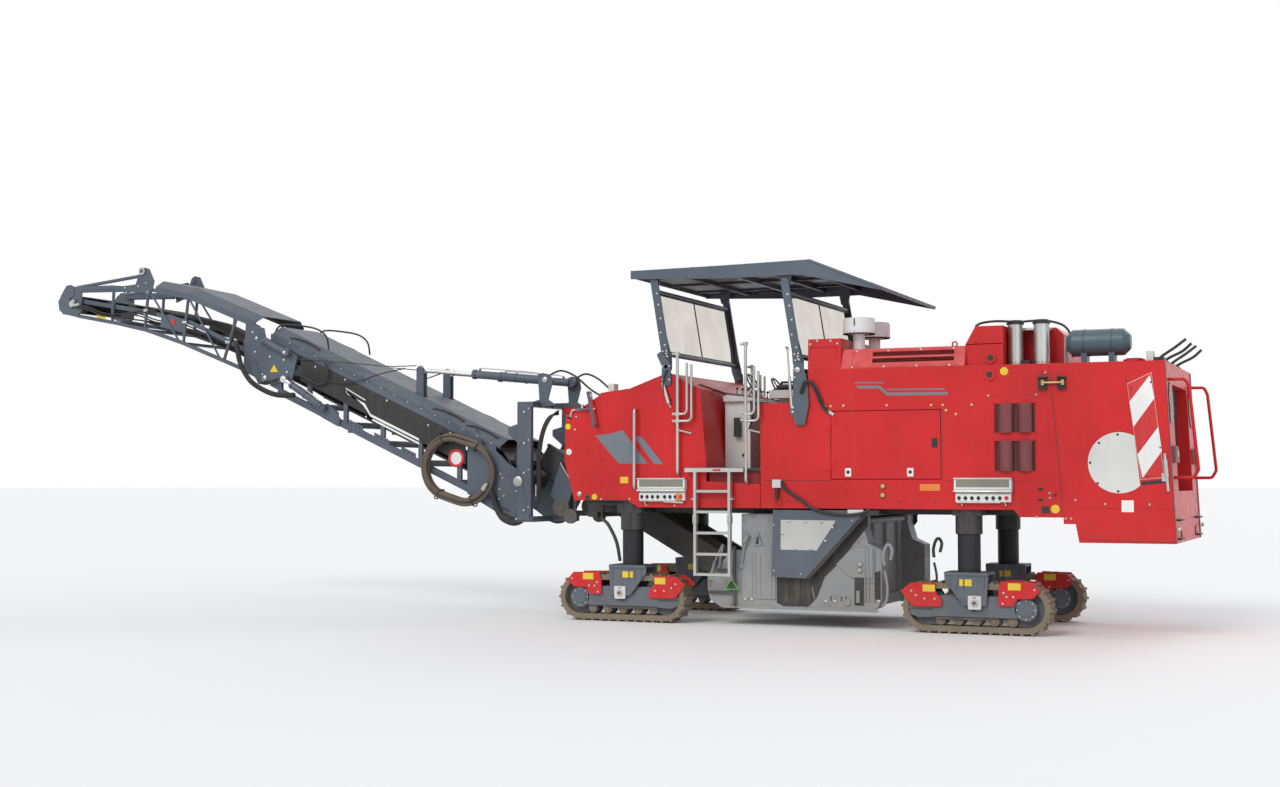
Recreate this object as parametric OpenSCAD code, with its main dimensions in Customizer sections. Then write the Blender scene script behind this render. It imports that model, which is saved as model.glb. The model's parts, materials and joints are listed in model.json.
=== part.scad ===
/* [Running gear] */
// Distance between the front and rear leg axes, along the machine
leg_base = 3900; // [3600:50:4200]
// Distance of the leg axes from the machine's middle plane
leg_y = 980; // [940:10:1000]
// Overall length of one track loop
track_len = 1600; // [1400:20:1640]
// Overall height of one track loop
track_h = 550; // [500:10:560]
// Width of the track shoes
track_w = 260; // [220:10:280]
// Number of shoes on a track
shoe_count = 34; // [28:2:40]
// Outer diameter of the inner, turning leg tube
leg_tube_d = 240; // [200:10:260]
// Height of the yoke's top plate above the ground
yoke_top_z = 650; // [620:10:690]

/* [Body] */
// Distance of the side panels from the middle plane
body_half_w = 1150; // [1145:5:1180]
// Wall thickness of the engine housing
wall = 50; // [30:5:60]
// Height of the machine deck's upper face
deck_z = 1420; // [1400:10:1440]
// Height of the engine housing's top face
body_top_z = 2820; // [2760:10:2860]
// Front end of the engine housing
engine_x0 = 1710; // [1690:10:1760]
// Reach of the rear grab rails behind the engine housing's top edge
rear_rail_out = 305; // [260:5:340]
// Height of the operator's floor
floor_z = 1740; // [1700:10:1780]
// Rearmost point, the outside of the rear grab rails
rear_reach = 6330; // [6280:10:6400]
// Diameter of the handrail pipes
rail_d = 34; // [25:1:42]

/* [Milling unit] */
// Working width of the milling drum
drum_len = 1500; // [1300:50:1520]
// Diameter over the cutting tips
drum_d = 960; // [900:20:980]
// Height of the drum axis
drum_z = 720; // [710:5:730]
// Position of the drum axis along the machine
drum_x = 2080; // [2060:10:2100]
// Rows of tool holders around the drum
pick_rows = 8; // [6:1:10]

/* [Discharge conveyor] */
// Distance from the front tracks' pivot to the conveyor's foremost point
front_reach = 8950; // [8900:10:9000]
// Width of the conveyor frame
boom_w = 1080; // [1060:10:1120]
// Width of the belt
belt_w = 700; // [600:20:760]
// Thickness of a belt
belt_t = 14; // [10:1:20]
// Angle of the conveyor's lower section
boom_angle = 24; // [23:0.5:25]

/* [Canopy] */
// Length of the canopy's swing arms between their pivots
arm_len = 1000; // [960:10:1020]
// Forward lean of the arms when the canopy is raised
arm_lean = 9.4; // [8:0.2:11]
// Overhang of the roof over the side panels
roof_over = 15; // [10:5:50]
// Thickness of the roof panel
roof_t = 36; // [24:4:60]

/* [Hidden] */
$fn = 40;
// Gap between moving pieces, between fitted pieces and round a running pin
gap = 6;
fit = 0.5;
cover_seat = 0.05;
pin_gap = 0.1;

// The model is drawn with the front tracks' pivot at x = 0 and is then moved so that its box is centred
x_shift = (front_reach - rear_reach) / 2;

red = [0.78, 0.06, 0.08];
grey = [0.29, 0.32, 0.36];
dark = [0.08, 0.08, 0.09];
steel = [0.62, 0.63, 0.62];
tan_dust = [0.45, 0.38, 0.28];
rubber = [0.07, 0.07, 0.07];
blue_grey = [0.25, 0.32, 0.37];
off_white = [0.80, 0.80, 0.76];
zinc = [0.60, 0.60, 0.57];

// Running gear, worked out from the sizes above
pivot_shift = 90;
leg_x = [pivot_shift, pivot_shift + leg_base];
pivot_z = 360;
pivot_d = 70;
shoe_t = 18;
grouser = 22;
chain_t = 40;
band_in = chain_t + shoe_t + grouser;
loop_r = track_h / 2 - grouser;
loop_a = track_len / 2 - track_h / 2;
loop_len = 4 * loop_a + 2 * PI * loop_r;
wheel_r = track_h / 2 - band_in - 2;
wheel_w = 90;
cheek_t = 28;
cheek_in = track_w / 2 + 6;
yoke_w = 2 * (cheek_in + cheek_t);
yoke_len = 460;
yoke_plate = 30;
guard_t = 14;
outer_tube_d = leg_tube_d + 40;
outer_tube_z = 1050;
tube_top_z = 1330;

// Frame
rail_z0 = 1240;
rail_y = 560;
rail_w = 140;
deck_t = 20;
tunnel_y = 450;
deck_x0 = 300;
engine_x1 = rear_reach - rear_rail_out;
deck_x1 = engine_x1 - 1045;
front_x0 = -620;

// Slewing axis of the conveyor's mast, ahead of the front tracks' pivot, and its two pins
slew_out = 1200;
slew_x = -slew_out;
slew_r = 45;
slew_low_z = 1180;
slew_low_t = 60;
slew_top_z = 2440;
slew_top_t = 60;

// Mast, boom and their cylinders, in [reach, z], reach being the distance ahead of the slewing axis
post_r0 = 225;
post_w = 190;
post_t = 60;
post_y = boom_w / 2 + 30;
mast_z0 = 1110;
mast_z1 = 2566;
lift_r = 400;
lift_z = 1600;
lift_pin_d = 80;
lift_pin2_d = 50;
// Upper pin of the lift cylinder, and the play that its eye has round it over the whole lift
lift_pin3_d = 36;
eye_play = 23;
lift_eye_d = 122;
lift_y = 330;
lift_base = [150, 2840];
lift_eye = [1950, 3010];
lift_len = norm(lift_eye - lift_base);
barrel_d = 100;
barrel_len = 1050;
barrel_dead = 140;
rod_d = 55;
tip_reach = 3620;
boom_end_r = front_reach - slew_out - tip_reach;
chord = 90;
plate_t = 12;
cover_w = boom_w / 2;
fold_at = [boom_end_r + 70, bot_z(boom_end_r) + 160];
fold_hinge_d = 60;
fold_base = [boom_end_r - 875, bot_z(boom_end_r) - 242];
fold_eye = fold_at + [-346, -23];
fold_len = norm(fold_eye - fold_base);
fold_pin_d = 45;
fold_cyl_y = boom_w / 2 + 80;
coil_c = [1250, 1745];
coil_d = 130;
coil_half = 110;
coil_out = 425;
coil_band = 110;
coil_tilt = 17;
sheet_t = 6;
coil_y = boom_w / 2 + sheet_t + coil_d / 2 + 0.3;

// Canopy: half width of the roof, and the arms' pivots along the machine and upward
roof_half_w = body_half_w + roof_over;
arm_front = [585, 2900];
arm_rear = [2159, 2822];
arm_w = 90;
arm_t = 24;
glass_t = 8;

// Steps of each pipe bend
bend_steps = 5;

// Front body and cheeks
tank_x0 = -250;
tank_x1 = 1065;
tank_top = [[tank_x0, deck_z], [tank_x0, 2610], [123, 2653], [604, 2826], [991, 2642], [tank_x1, 1797],
    [tank_x1, deck_z]];
cheek_end = tank_x0 - 0.3;
cheek_outline = [[cheek_end, 1384], [-582, 1381], [-711, 1837], [-700, 2300], [-690, 2380], [-620, 2390],
    [-450, 2480], [cheek_end, 2600]];
eye_x = -650;
eye_z = 2335;
eye_r = 28;
cheek_plate = 30;

// Engine housing with its openings and tow plates
engine_outline = [[engine_x0, 1305], [engine_x0, 2465], [2265, 2465], [2265, body_top_z],
    [engine_x1, body_top_z], [engine_x1 + 88, 975], [engine_x1 - 862, 975], [engine_x1 - 896, 1164],
    [engine_x1 - 1017, 1164], [engine_x1 - 1017, 1230], [engine_x1 - 1460, 1230], [engine_x1 - 1525, 1305]];
door_x0 = 2520;
door_x1 = engine_x1 - 2285;
door_z0 = 1620;
door_z1 = 2365;
grille_x0 = engine_x1 - 1725;
grille_x1 = engine_x1 - 1285;
grille_rows = [[1700, 2030], [2100, 2420]];
tow_x = engine_x1 + 15;
tow_y = 650;
tow_z = 1000;
tow_r = 26;
radiator_x = engine_x1 - 125;

// Hood, exhausts, air tank and air cleaners
hood_x0 = 2640;
hood_x1 = engine_x1 - 2025;
hood_z = 3035;
box_z = 3157;
cowl_z = 3236;
stack_x = [hood_x1 + 480, hood_x1 + 755];
stack_y = -880;
air_tank_c = [engine_x1 - 695, -800, 3045];
air_tank_r = 140;
cleaner_c = [[2760, -850], [2760, -250]];

// Ladders
ladder_x = [960, 1370];
ladder_y = body_half_w + 65;
rung_z = [1490, 1260, 1025, 790, 565];

// Drum housing, drum and gate
side_y = drum_len / 2 + 30;
side_out = body_half_w - 120;
housing_bottom = 190;
housing_x0 = 1440;
housing_x1 = 2740;
shaft_d = 240;
gate_x = 2790;
gate_z = 1170;
gate_pin_d = 50;
drum_core_d = 620;

// Doors and their hinges
door_t = 12;
door_gap = 7;
hinge_x = door_x0 + door_gap / 2;
hinge_y = body_half_w + 8;
knuckle_d = 15;
knuckle_h = 60;
hinge_pin_d = 8;
hinge_z = [door_z0 + 90, door_z1 - 210];

// Loading conveyor
load_tail = [slew_x - 1120, 520];
load_head = [130, 1900];
load_len = norm(load_head - load_tail);
load_hang = load_len * (1320 - load_tail[1]) / (load_head[1] - load_tail[1]);
load_w = 760;
load_belt_w = 600;
load_r = 100;

// Canopy pins, mounts and arms
canopy_pin_d = 40;
mount_t = 22;
arm_out = roof_half_w - 23;
arm_tip = [-arm_len * sin(arm_lean), arm_len * cos(arm_lean)];

// Trusses of the lower section
boom_h = 745;
chord_w = 50;
web_pitch = 560;

// Upper, folding section, in [reach, z] from the end of the lower section's lower edge
tip_top = [[200, 860], [1339, 1302], [1983, 1440], [2670, 1510], [3344, 1520]];
tip_low = [[210, 185], [470, 295], [1444, 665], [2070, 865], [2570, 975], [3270, 1105]];
tip_rail = [[330, 540], [1339, 985], [2170, 1175], [3250, 1360]];
tip_cross = [[570, 330], [1444, 665], [2100, 870], [2720, 1005]];
hinge_rel = fold_at - [boom_end_r, bot_z(boom_end_r)];
eye_rel = fold_eye - [boom_end_r, bot_z(boom_end_r)];

// Moves a drawn piece into the frame of the finished part
module place() translate([x_shift, 0, 0]) children();

// Extrudes an outline of [x, z] points between two distances from the middle plane
module xz(points, y0, y1) translate([0, y1, 0]) rotate([90, 0, 0]) linear_extrude(y1 - y0) polygon(points);

// Extrudes an outline of [y, z] points between two stations along the machine
module yz(points, x0, x1) translate([x0, 0, 0]) rotate([90, 0, 90]) linear_extrude(x1 - x0) polygon(points);

// A box from its lowest to its highest corner
module block(a, b) translate(a) cube(b - a);

// A round bar between two points
module bar(a, b, d, fn = 20) {
    v = b - a;
    translate(a) rotate([0, acos(v[2] / norm(v)), atan2(v[1], v[0])])
        cylinder(d = d, h = norm(v), $fn = fn);
}

// A cylinder across the machine, from one distance to another
module cross_pin(x, z, d, y0, y1, fn = 40)
    translate([x, y0, z]) rotate([-90, 0, 0]) cylinder(d = d, h = y1 - y0, $fn = fn);

// Draws its children and their mirror image on the other side
module both_sides() {
    children();
    mirror([0, 1, 0]) children();
}

function unit(v) = v / norm(v);

// Length that a bend of a given radius takes from each of its two straight runs
function bend_cut(points, i, r) =
    i == 0 || i == len(points) - 1 ? 0
    : let (u = unit(points[i] - points[i - 1]), v = unit(points[i + 1] - points[i]))
        r * tan(acos(u * v) / 2);

// Stations of a bent pipe, each a point and a direction: its two ends and a few round every bend
function bend_stations(points, i, r) =
    let (u = unit(points[i] - points[i - 1]), v = unit(points[i + 1] - points[i]),
        w = unit(v - (u * v) * u), c = points[i] - u * bend_cut(points, i, r) + w * r)
    [for (k = [0 : bend_steps]) let (t = acos(u * v) * k / bend_steps)
        [c + r * (u * sin(t) - w * cos(t)), u * cos(t) + w * sin(t)]];
function stations(points, r) = let (n = len(points) - 1) concat(
    [[points[0], unit(points[1] - points[0])]],
    [for (i = [1 : 1 : n - 1]) each bend_stations(points, i, r)],
    [[points[n], unit(points[n] - points[n - 1])]]);

// A pipe through points that lie in one plane, square to a given normal, with bends of radius r
module pipe(points, d, normal, r = 60) {
    n = 16;
    rings = stations(points, r);
    m = len(rings);
    polyhedron(
        [for (q = rings, j = [0 : n - 1])
            q[0] + d / 2 * (cos(360 * j / n) * normal + sin(360 * j / n) * cross(normal, q[1]))],
        concat([[for (j = [0 : n - 1]) n - 1 - j]], [[for (j = [0 : n - 1]) (m - 1) * n + j]],
            [for (k = [0 : m - 2], j = [0 : n - 1])
                [k * n + j, k * n + (j + 1) % n, (k + 1) * n + (j + 1) % n, (k + 1) * n + j]]));
}

// Track units: front and rear ones are mirror images, left and right ones too

// Point of the track's outline at a distance along it, pushed outward by an amount
function loop_point(s, out) =
    let (straight = 2 * loop_a, arc = PI * loop_r, u = s % loop_len)
    u < straight ? [-loop_a + u, track_h / 2 + loop_r + out]
    : u < straight + arc ? let (a = 90 - (u - straight) / loop_r * 180 / PI)
        [loop_a + (loop_r + out) * cos(a), track_h / 2 + (loop_r + out) * sin(a)]
    : u < 2 * straight + arc ? [loop_a - (u - straight - arc), track_h / 2 - loop_r - out]
    : let (a = 270 - (u - 2 * straight - arc) / loop_r * 180 / PI)
        [-loop_a + (loop_r + out) * cos(a), track_h / 2 + (loop_r + out) * sin(a)];

module track_unit() translate([-pivot_shift, 0, 0]) {
    pitch = loop_len / shoe_count;
    outer = [for (i = [0 : shoe_count - 1], k = [[0.06, -6], [0.06, 0], [0.16, grouser], [0.34, grouser],
        [0.40, 2], [0.94, 2], [0.94, -6]]) loop_point((i + k[0]) * pitch, k[1])];
    inner_r = track_h / 2 - band_in;
    color(tan_dust) translate([0, track_w / 2, 0]) rotate([90, 0, 0]) linear_extrude(track_w) difference() {
        polygon(outer);
        for (x = [-loop_a, loop_a]) translate([x, track_h / 2]) circle(r = inner_r, $fn = 96);
        translate([-loop_a, track_h / 2 - inner_r]) square([2 * loop_a, 2 * inner_r]);
    }
}

// Yoke, leg tube, pivot, beam, end wheels and rollers of a unit, drawn round its leg
module undercarriage() color(grey) {
    half = yoke_len / 2;
    p = -pivot_shift;
    translate([0, 0, yoke_top_z - 5]) cylinder(d = leg_tube_d, h = tube_top_z - 10 - yoke_top_z);
    block([-half, -yoke_w / 2, yoke_top_z - yoke_plate], [half, yoke_w / 2, yoke_top_z]);
    both_sides() {
        xz([[-half, yoke_top_z - yoke_plate / 2], [-half, 560], [p - 120, 300], [p + 120, 300], [half, 560],
            [half, yoke_top_z - yoke_plate / 2]], cheek_in, cheek_in + cheek_t);
        cross_pin(p, pivot_z, 2 * pivot_d, cheek_in + cheek_t - 2, cheek_in + cheek_t + 6);
    }
    cross_pin(p, pivot_z, pivot_d, -cheek_in - cheek_t - 8, cheek_in + cheek_t + 8);
    translate([p, 0, 0]) {
        block([-445, -track_w / 2 + 20, 172], [465, track_w / 2 - 20, 400]);
        block([-480, -track_w / 2 + 60, 240], [500, track_w / 2 - 60, 330]);
        for (x = [-loop_a, loop_a]) {
            cross_pin(x, track_h / 2, 2 * wheel_r, -wheel_w / 2, wheel_w / 2);
            cross_pin(x, track_h / 2, 190, -track_w / 2 + 10, track_w / 2 - 10);
        }
        for (i = [-2 : 2]) cross_pin(i * 190, band_in + 60 + fit, 120, -70, 70);
    }
}

// Red guard plates over the two ends of the track, seated on lugs of the beam
module guards() color(red) translate([-pivot_shift, 0, 0]) both_sides() {
    y0 = track_w / 2 + 8;
    xz([[-680, 470], [-600, 555], [-270, 562], [-245, 460], [-245, 305], [-390, 305], [-440, 380],
        [-600, 388]], y0, y0 + guard_t);
    xz([[420, 527], [685, 527], [800, 441], [675, 279], [360, 279], [350, 342], [420, 440]],
        y0, y0 + guard_t);
    for (x = [-330, 362]) block([x, track_w / 2 - 20 + fit, 320], [x + 60, y0, 380]);
}

// Puts a unit at a corner: 0 front or 1 rear, and side -1 left or 1 right
module at_corner(end, side) translate([leg_x[end], side * leg_y, 0])
    mirror([end, 0, 0]) children();

// Frame of the machine with the four outer leg tubes and the mast's brackets
module frame() color(dark) {
    difference() {
        union() {
            block([deck_x0, -body_half_w + wall + gap, deck_z - deck_t],
                [deck_x1, body_half_w - wall - gap, deck_z]);
            both_sides() {
                block([front_x0, rail_y, rail_z0], [deck_x1, rail_y + rail_w, deck_z - deck_t]);
                for (x = leg_x) {
                    block([x - 150, tunnel_y, rail_z0],
                        [x + 150, body_half_w - wall - gap, deck_z - deck_t]);
                    translate([x, leg_y, outer_tube_z])
                        cylinder(d = outer_tube_d, h = deck_z - deck_t - outer_tube_z);
                }
                block([front_x0, rail_y, slew_low_z], [front_x0 + 120, rail_y + rail_w, rail_z0]);
            }
            block([front_x0, -rail_y, slew_low_z], [front_x0 + 120, rail_y, slew_low_z + slew_low_t + 10]);
            xz([[slew_x, slew_low_z], [front_x0 + 50, slew_low_z], [front_x0 + 50, slew_low_z + slew_low_t],
                [slew_x, slew_low_z + slew_low_t]], -160, 160);
            translate([slew_x, 0, slew_low_z]) cylinder(r = 110, h = slew_low_t);
        }
        both_sides() for (x = leg_x) translate([x, leg_y, outer_tube_z - 1])
            cylinder(d = leg_tube_d + 2, h = tube_top_z - outer_tube_z + 1);
        translate([slew_x, 0, slew_low_z - 1]) cylinder(r = slew_r + pin_gap, h = slew_low_t + 2);
    }
}

// Front body: cheeks round the conveyor's foot and the tank block behind them
module front_body() color(red) {
    difference() {
        xz(tank_top, -body_half_w, body_half_w);
        block([tank_x0 - 1, -tunnel_y, deck_z - 1], [420, tunnel_y, 1850]);
    }
}

// Cheek plates round the conveyor's foot, skirts and the upper bracket for the mast
module front_cheeks() color(red) {
    both_sides() difference() {
        union() {
            xz(cheek_outline, body_half_w - cheek_plate, body_half_w);
            xz([[cheek_end, 1384], [88, 1384], [229, 1305], [engine_x0 - gap, 1305],
                [engine_x0 - gap, 1570], [tank_x1 + 0.3, 1600], [tank_x1 + 0.3, deck_z - 0.3],
                [cheek_end, deck_z - 0.3]], body_half_w - cheek_plate, body_half_w);
        }
        cross_pin(eye_x, eye_z, 2 * eye_r, body_half_w - cheek_plate - 1, body_half_w + 1);
    }
    // Upper bracket for the mast
    difference() {
        union() {
            xz([[slew_x, slew_top_z], [cheek_end, slew_top_z], [cheek_end, slew_top_z + slew_top_t],
                [slew_x, slew_top_z + slew_top_t]], -160, 160);
            translate([slew_x, 0, slew_top_z]) cylinder(r = 110, h = slew_top_t);
            both_sides() xz([[cheek_end, slew_top_z - 320], [cheek_end, slew_top_z],
                [slew_x + 330, slew_top_z]], 130, 160);
        }
        translate([slew_x, 0, slew_top_z - 1]) cylinder(r = slew_r + pin_gap, h = slew_top_t + 2);
    }
}

// Engine housing: a shell open below, with a solid tail that holds the fuel and the counterweight
module engine_body() color(red) {
    engine_shell();
    // Fixed halves of the doors' hinges
    both_sides() for (z = hinge_z) {
        knuckle(z, -1);
        translate([hinge_x, hinge_y, z + knuckle_h]) cylinder(d = hinge_pin_d, h = knuckle_h, $fn = 24);
    }
}

module engine_shell() difference() {
    xz(engine_outline, -body_half_w, body_half_w);
    // Inside of the shell, below and above the step of the roof line
    block([engine_x0 - 1, -body_half_w + wall, 1200],
        [engine_x0 + wall + 1, body_half_w - wall, deck_z + fit]);
    block([engine_x0 + wall, -body_half_w + wall, 1200], [2265, body_half_w - wall, 2465 - wall]);
    block([2265 - wall, -body_half_w + wall, 1200], [deck_x1 + gap, body_half_w - wall, body_top_z - wall]);
    both_sides() {
        block([door_x0, body_half_w - wall - 1, door_z0], [door_x1, body_half_w + 1, door_z1]);
        for (r = grille_rows)
            block([grille_x0, body_half_w - wall - 1, r[0]], [grille_x1, body_half_w + 1, r[1]]);
    }
    // Pockets beside the rear leg tubes
    both_sides() translate([leg_x[1], leg_y, 1200]) cylinder(d = outer_tube_d + 2, h = deck_z - 1200);
    // Recess of the rear face for steps and radiator
    block([radiator_x, -650, 1500], [radiator_x + 300, 650, 2600]);
    // Slots above and below the two tow plates, with an upright pin hole through each
    both_sides() {
        block([tow_x - 90, tow_y - 70, tow_z + 25], [rear_reach, tow_y + 70, tow_z + 115]);
        translate([tow_x, tow_y, 970]) cylinder(r = tow_r, h = tow_z + 26 - 970);
    }
}

// Upper hood: front box, louvred trapezoid and the tall cowl beside the exhausts
module engine_hood() color(red) {
    w = body_half_w;
    yz([[-w, body_top_z], [-w + 20, box_z], [w - 20, box_z], [w, body_top_z]], 2265, hood_x0);
    difference() {
        yz([[-w, body_top_z], [-w + 60, hood_z], [w - 60, hood_z], [w, body_top_z]], hood_x0, hood_x1);
        both_sides() for (z = [2880, 2950])
            block([hood_x0 + 350, w - 95, z], [hood_x1 - 120, w + 10, z + 45]);
    }
    cowl_x = hood_x1 + 396;
    xz([[hood_x1 - 1, body_top_z], [hood_x1 - 1, 3048], [hood_x1 + 104, cowl_z], [cowl_x, cowl_z],
        [cowl_x, body_top_z]], -w + 50, w - 50);
    xz([[cowl_x - 1, body_top_z], [cowl_x - 1, cowl_z], [cowl_x + 464, cowl_z], [cowl_x + 544, 3160],
        [cowl_x + 544, body_top_z]], -620, 620);
}

module engine_block() color(dark)
    block([2900, -450, deck_z], [engine_x1 - 1425, 450, deck_z + 1100]);

module exhaust_stacks() color(steel) {
    for (x = stack_x) translate([x, stack_y, body_top_z]) cylinder(d = 160, h = 440);
    block([stack_x[0] - 60, stack_y + 60, body_top_z + 380], [stack_x[1] + 75, -620, body_top_z + 405]);
}

module air_tank() color(blue_grey) {
    translate([air_tank_c[0] - 260, air_tank_c[1], air_tank_c[2]]) rotate([0, 90, 0])
        cylinder(r = air_tank_r, h = 520);
    for (e = [[-260, -70], [260, 70]]) translate([air_tank_c[0] + e[0], air_tank_c[1], air_tank_c[2]])
        rotate([0, e[1] > 0 ? 90 : -90, 0]) cylinder(r1 = air_tank_r, r2 = air_tank_r * 0.55, h = 65);
    for (dx = [-170, 110]) block([air_tank_c[0] + dx, air_tank_c[1] - 90, body_top_z],
        [air_tank_c[0] + dx + 60, air_tank_c[1] + 90, air_tank_c[2] - 60]);
}

module air_cleaners() color(off_white) for (c = cleaner_c) {
    translate([c[0], c[1], hood_z]) cylinder(d = 130, h = 190);
    translate([c[0], c[1], hood_z + 180]) cylinder(d = 350, h = 165);
}

module grilles() color(dark) {
    both_sides() for (r = grille_rows) block([grille_x0 + fit, body_half_w - wall, r[0] + fit],
        [grille_x1 - fit, body_half_w - wall + 12, r[1] - fit]);
    block([radiator_x, -650 + fit, 1500 + fit], [radiator_x + 30, 650 - fit, 2600 - fit]);
}

// Place of the sloping rear face at a height
function rear_face(z) = engine_x1 + (body_top_z - z) * 88 / 1845;

// Grab rails on the rear face
module rear_rails() color(red) {
    x_out = rear_reach - rail_d / 2;
    both_sides() pipe([[rear_face(2640) + 1, 900, 2640], [x_out - 115, 900, 2640], [x_out - 80, 900, 2560],
        [x_out, 900, 1720], [x_out - 45, 900, 1640], [rear_face(1640) + 1, 900, 1640]],
        rail_d, [0, 1, 0], 45);
}

// Round cover plates and hatched warning boards on the sides
module side_plates() color(off_white) both_sides() {
    y = body_half_w;
    difference() {
        cross_pin(engine_x1 - 455, 1790, 620, y, y + 8, 64);
        xz([for (p = [[-375, 2800], [-235, 1400], [175, 1400], [175, 2800]]) [engine_x1 + p[0], p[1]]],
            y - 1, y + 9);
    }
    xz([for (p = [[-365, 2590], [-125, 2700], [-15, 1640], [-245, 1615]]) [engine_x1 + p[0], p[1]]],
        y, y + 10);
}

// Operator's floor across the machine, with the two outer landings
module platform() color(dark) {
    block([tank_x1 + fit, -body_half_w, floor_z - 30], [engine_x0 - fit, body_half_w, floor_z]);
    for (s = [-1, 1]) for (x = [tank_x1 + 40, engine_x0 - 120])
        block([x, s * 700 - 40, deck_z], [x + 80, s * 700 + 40, floor_z - 30]);
}

// Control cabinet with its two desks, and the two cushioned places on the rear deck
module operator_station() color(off_white) {
    block([tank_x1 + fit, -560, floor_z], [1380, 560, 2520]);
    xz([[tank_x1 + fit, 2520], [tank_x1 + fit, 2600], [1420, 2560], [1440, 2520]], -620, 620);
    both_sides() xz([[1240, 2540], [1280, 2540], [1370, 2700], [1400, 2705], [1400, 2730], [1350, 2730]],
        410, 440);
    both_sides() {
        block([1800, 620, 2465], [1950, 780, 2530]);
        block([1730, 480, 2530], [2120, 920, 2620]);
        xz([[2080, 2620], [2120, 2620], [2165, 2790], [2125, 2800]], 500, 900);
    }
}

// Steel handrails at the two sides of each entry
module handrails() color(steel) both_sides() {
    y = body_half_w + 60;
    x_on = rail_d / 2 + 0.3;
    // Place, foot and top of each post, then the reach, top and foot of the two bent pipes clamped to it
    for (e = [[740, 1680, 3050, [115, 2934, 2359], [170, 2917, 2280]],
        [1560, 1590, 3136, [100, 2874, 2344], [150, 2820, 2271]]]) {
        pipe([[e[0], body_half_w, e[1]], [e[0], y, e[1]], [e[0], y, e[2]]], rail_d, [1, 0, 0], 40);
        for (q = [e[3], e[4]])
            pipe([[e[0] + x_on, y, q[2]], [e[0] + q[0], y, q[2]], [e[0] + q[0], y, q[1]]],
                rail_d - 4, [0, 1, 0], 50);
    }
    pipe([[205, body_half_w, 1521], [205, y, 1521], [205, y, 2423], [205, body_half_w, 2423]],
        rail_d, [1, 0, 0], 40);
}

module ladders() color(zinc) both_sides() {
    block([840, body_half_w, floor_z - 35], [1540, body_half_w + 95, floor_z]);
    for (x = ladder_x) block([x - 15, ladder_y - 28, 550], [x + 15, ladder_y + 28, floor_z - 35]);
    for (z = rung_z) block([ladder_x[0], ladder_y - 22, z - 14], [ladder_x[1], ladder_y + 22, z + 14]);
    for (x = ladder_x) block([x - 12, body_half_w, 1400], [x + 12, ladder_y - 28, 1440]);
}

// Outer control panels: two on each side
module control_boxes() color(off_white) both_sides() for (x = [[250, 830], [3890, 4490]]) {
    block([x[0], body_half_w, 1500], [x[1], body_half_w + 70, 1625]);
    block([x[0] + 10, body_half_w, 1385], [x[1] - 10, body_half_w + 45, 1470]);
    block([x[0] + 10, body_half_w, 1470], [x[1] - 10, body_half_w + 20, 1500]);
}

// Drum housing: two closed side boxes, a top and a front wall, with the hatch hung outside them
module drum_housing() color(grey) {
    side = [[1030, 420], [1060, 280], [1200, housing_bottom], [2880, housing_bottom], [3000, 235],
        [3050, 330], [3050, 860], [2900, 930], [gate_x + 60, gate_z - 60], [gate_x + 60, rail_z0],
        [housing_x0, rail_z0], [housing_x0, 830], [1330, 830], [1120, 620], [1030, 560]];
    difference() {
        both_sides() xz(side, side_y, side_out);
        cross_pin(drum_x, drum_z, shaft_d + 2 * pin_gap, -side_out - 1, side_out + 1);
        cross_pin(gate_x, gate_z, gate_pin_d + 2 * pin_gap, -side_y - 40, side_y + 40);
    }
    block([housing_x0, -side_y, rail_z0 - 25], [housing_x1, side_y, rail_z0]);
    difference() {
        block([housing_x0, -side_y, housing_bottom + 60], [housing_x0 + 25, side_y, rail_z0]);
        block([housing_x0 - 1, -400, housing_bottom + 59], [housing_x0 + 26, 400, 850]);
    }
    both_sides() {
        xz([[1855, 1285], [2905, 1285], [2225, 545], [1832, 555]], body_half_w - 50, body_half_w);
        block([1880, side_out, 620], [2180, body_half_w - 50, 1200]);
    }
}

module drum() color(grey) {
    cross_pin(drum_x, drum_z, drum_core_d, -drum_len / 2, drum_len / 2, 48);
    cross_pin(drum_x, drum_z, shaft_d, -side_out + 20, side_out - 20);
    // Tool holders in two screws that meet in the middle
    for (s = [-1, 1], i = [0 : 13], k = [0 : pick_rows / 2 - 1])
        translate([drum_x, s * (40 + i * (drum_len / 2 - 70) / 13), drum_z])
            rotate([0, s * (i * 34) + k * 720 / pick_rows + (s > 0 ? 45 : 0), 0])
                translate([drum_core_d / 2 - 12, -18, -35]) cube([(drum_d - drum_core_d) / 2 + 12, 36, 60]);
}

module scraper_gate() color(grey) {
    block([housing_x1 + 15, -side_y + gap, housing_bottom + 20], [housing_x1 + 45, side_y - gap, gate_z]);
    block([housing_x1 + 15, -side_y + gap, housing_bottom + 20], [housing_x1 + 75, side_y - gap, 330]);
    for (y = [-500, 0, 500]) block([housing_x1 + 45, y - 20, 330], [housing_x1 + 80, y + 20, gate_z - 40]);
    cross_pin(gate_x, gate_z, gate_pin_d, -side_y - 35, side_y + 35);
    cross_pin(gate_x, gate_z, gate_pin_d + 20, -side_y + gap, side_y - gap);
}

// Side doors of the engine housing

// Knuckle with its leaf, which runs along the wall toward one side
module knuckle(z, dir) {
    translate([hinge_x, hinge_y, z]) cylinder(d = knuckle_d, h = knuckle_h, $fn = 24);
    block([min(hinge_x, hinge_x + dir * 60), body_half_w, z],
        [max(hinge_x, hinge_x + dir * 60), body_half_w + 5, z + knuckle_h]);
}

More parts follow.
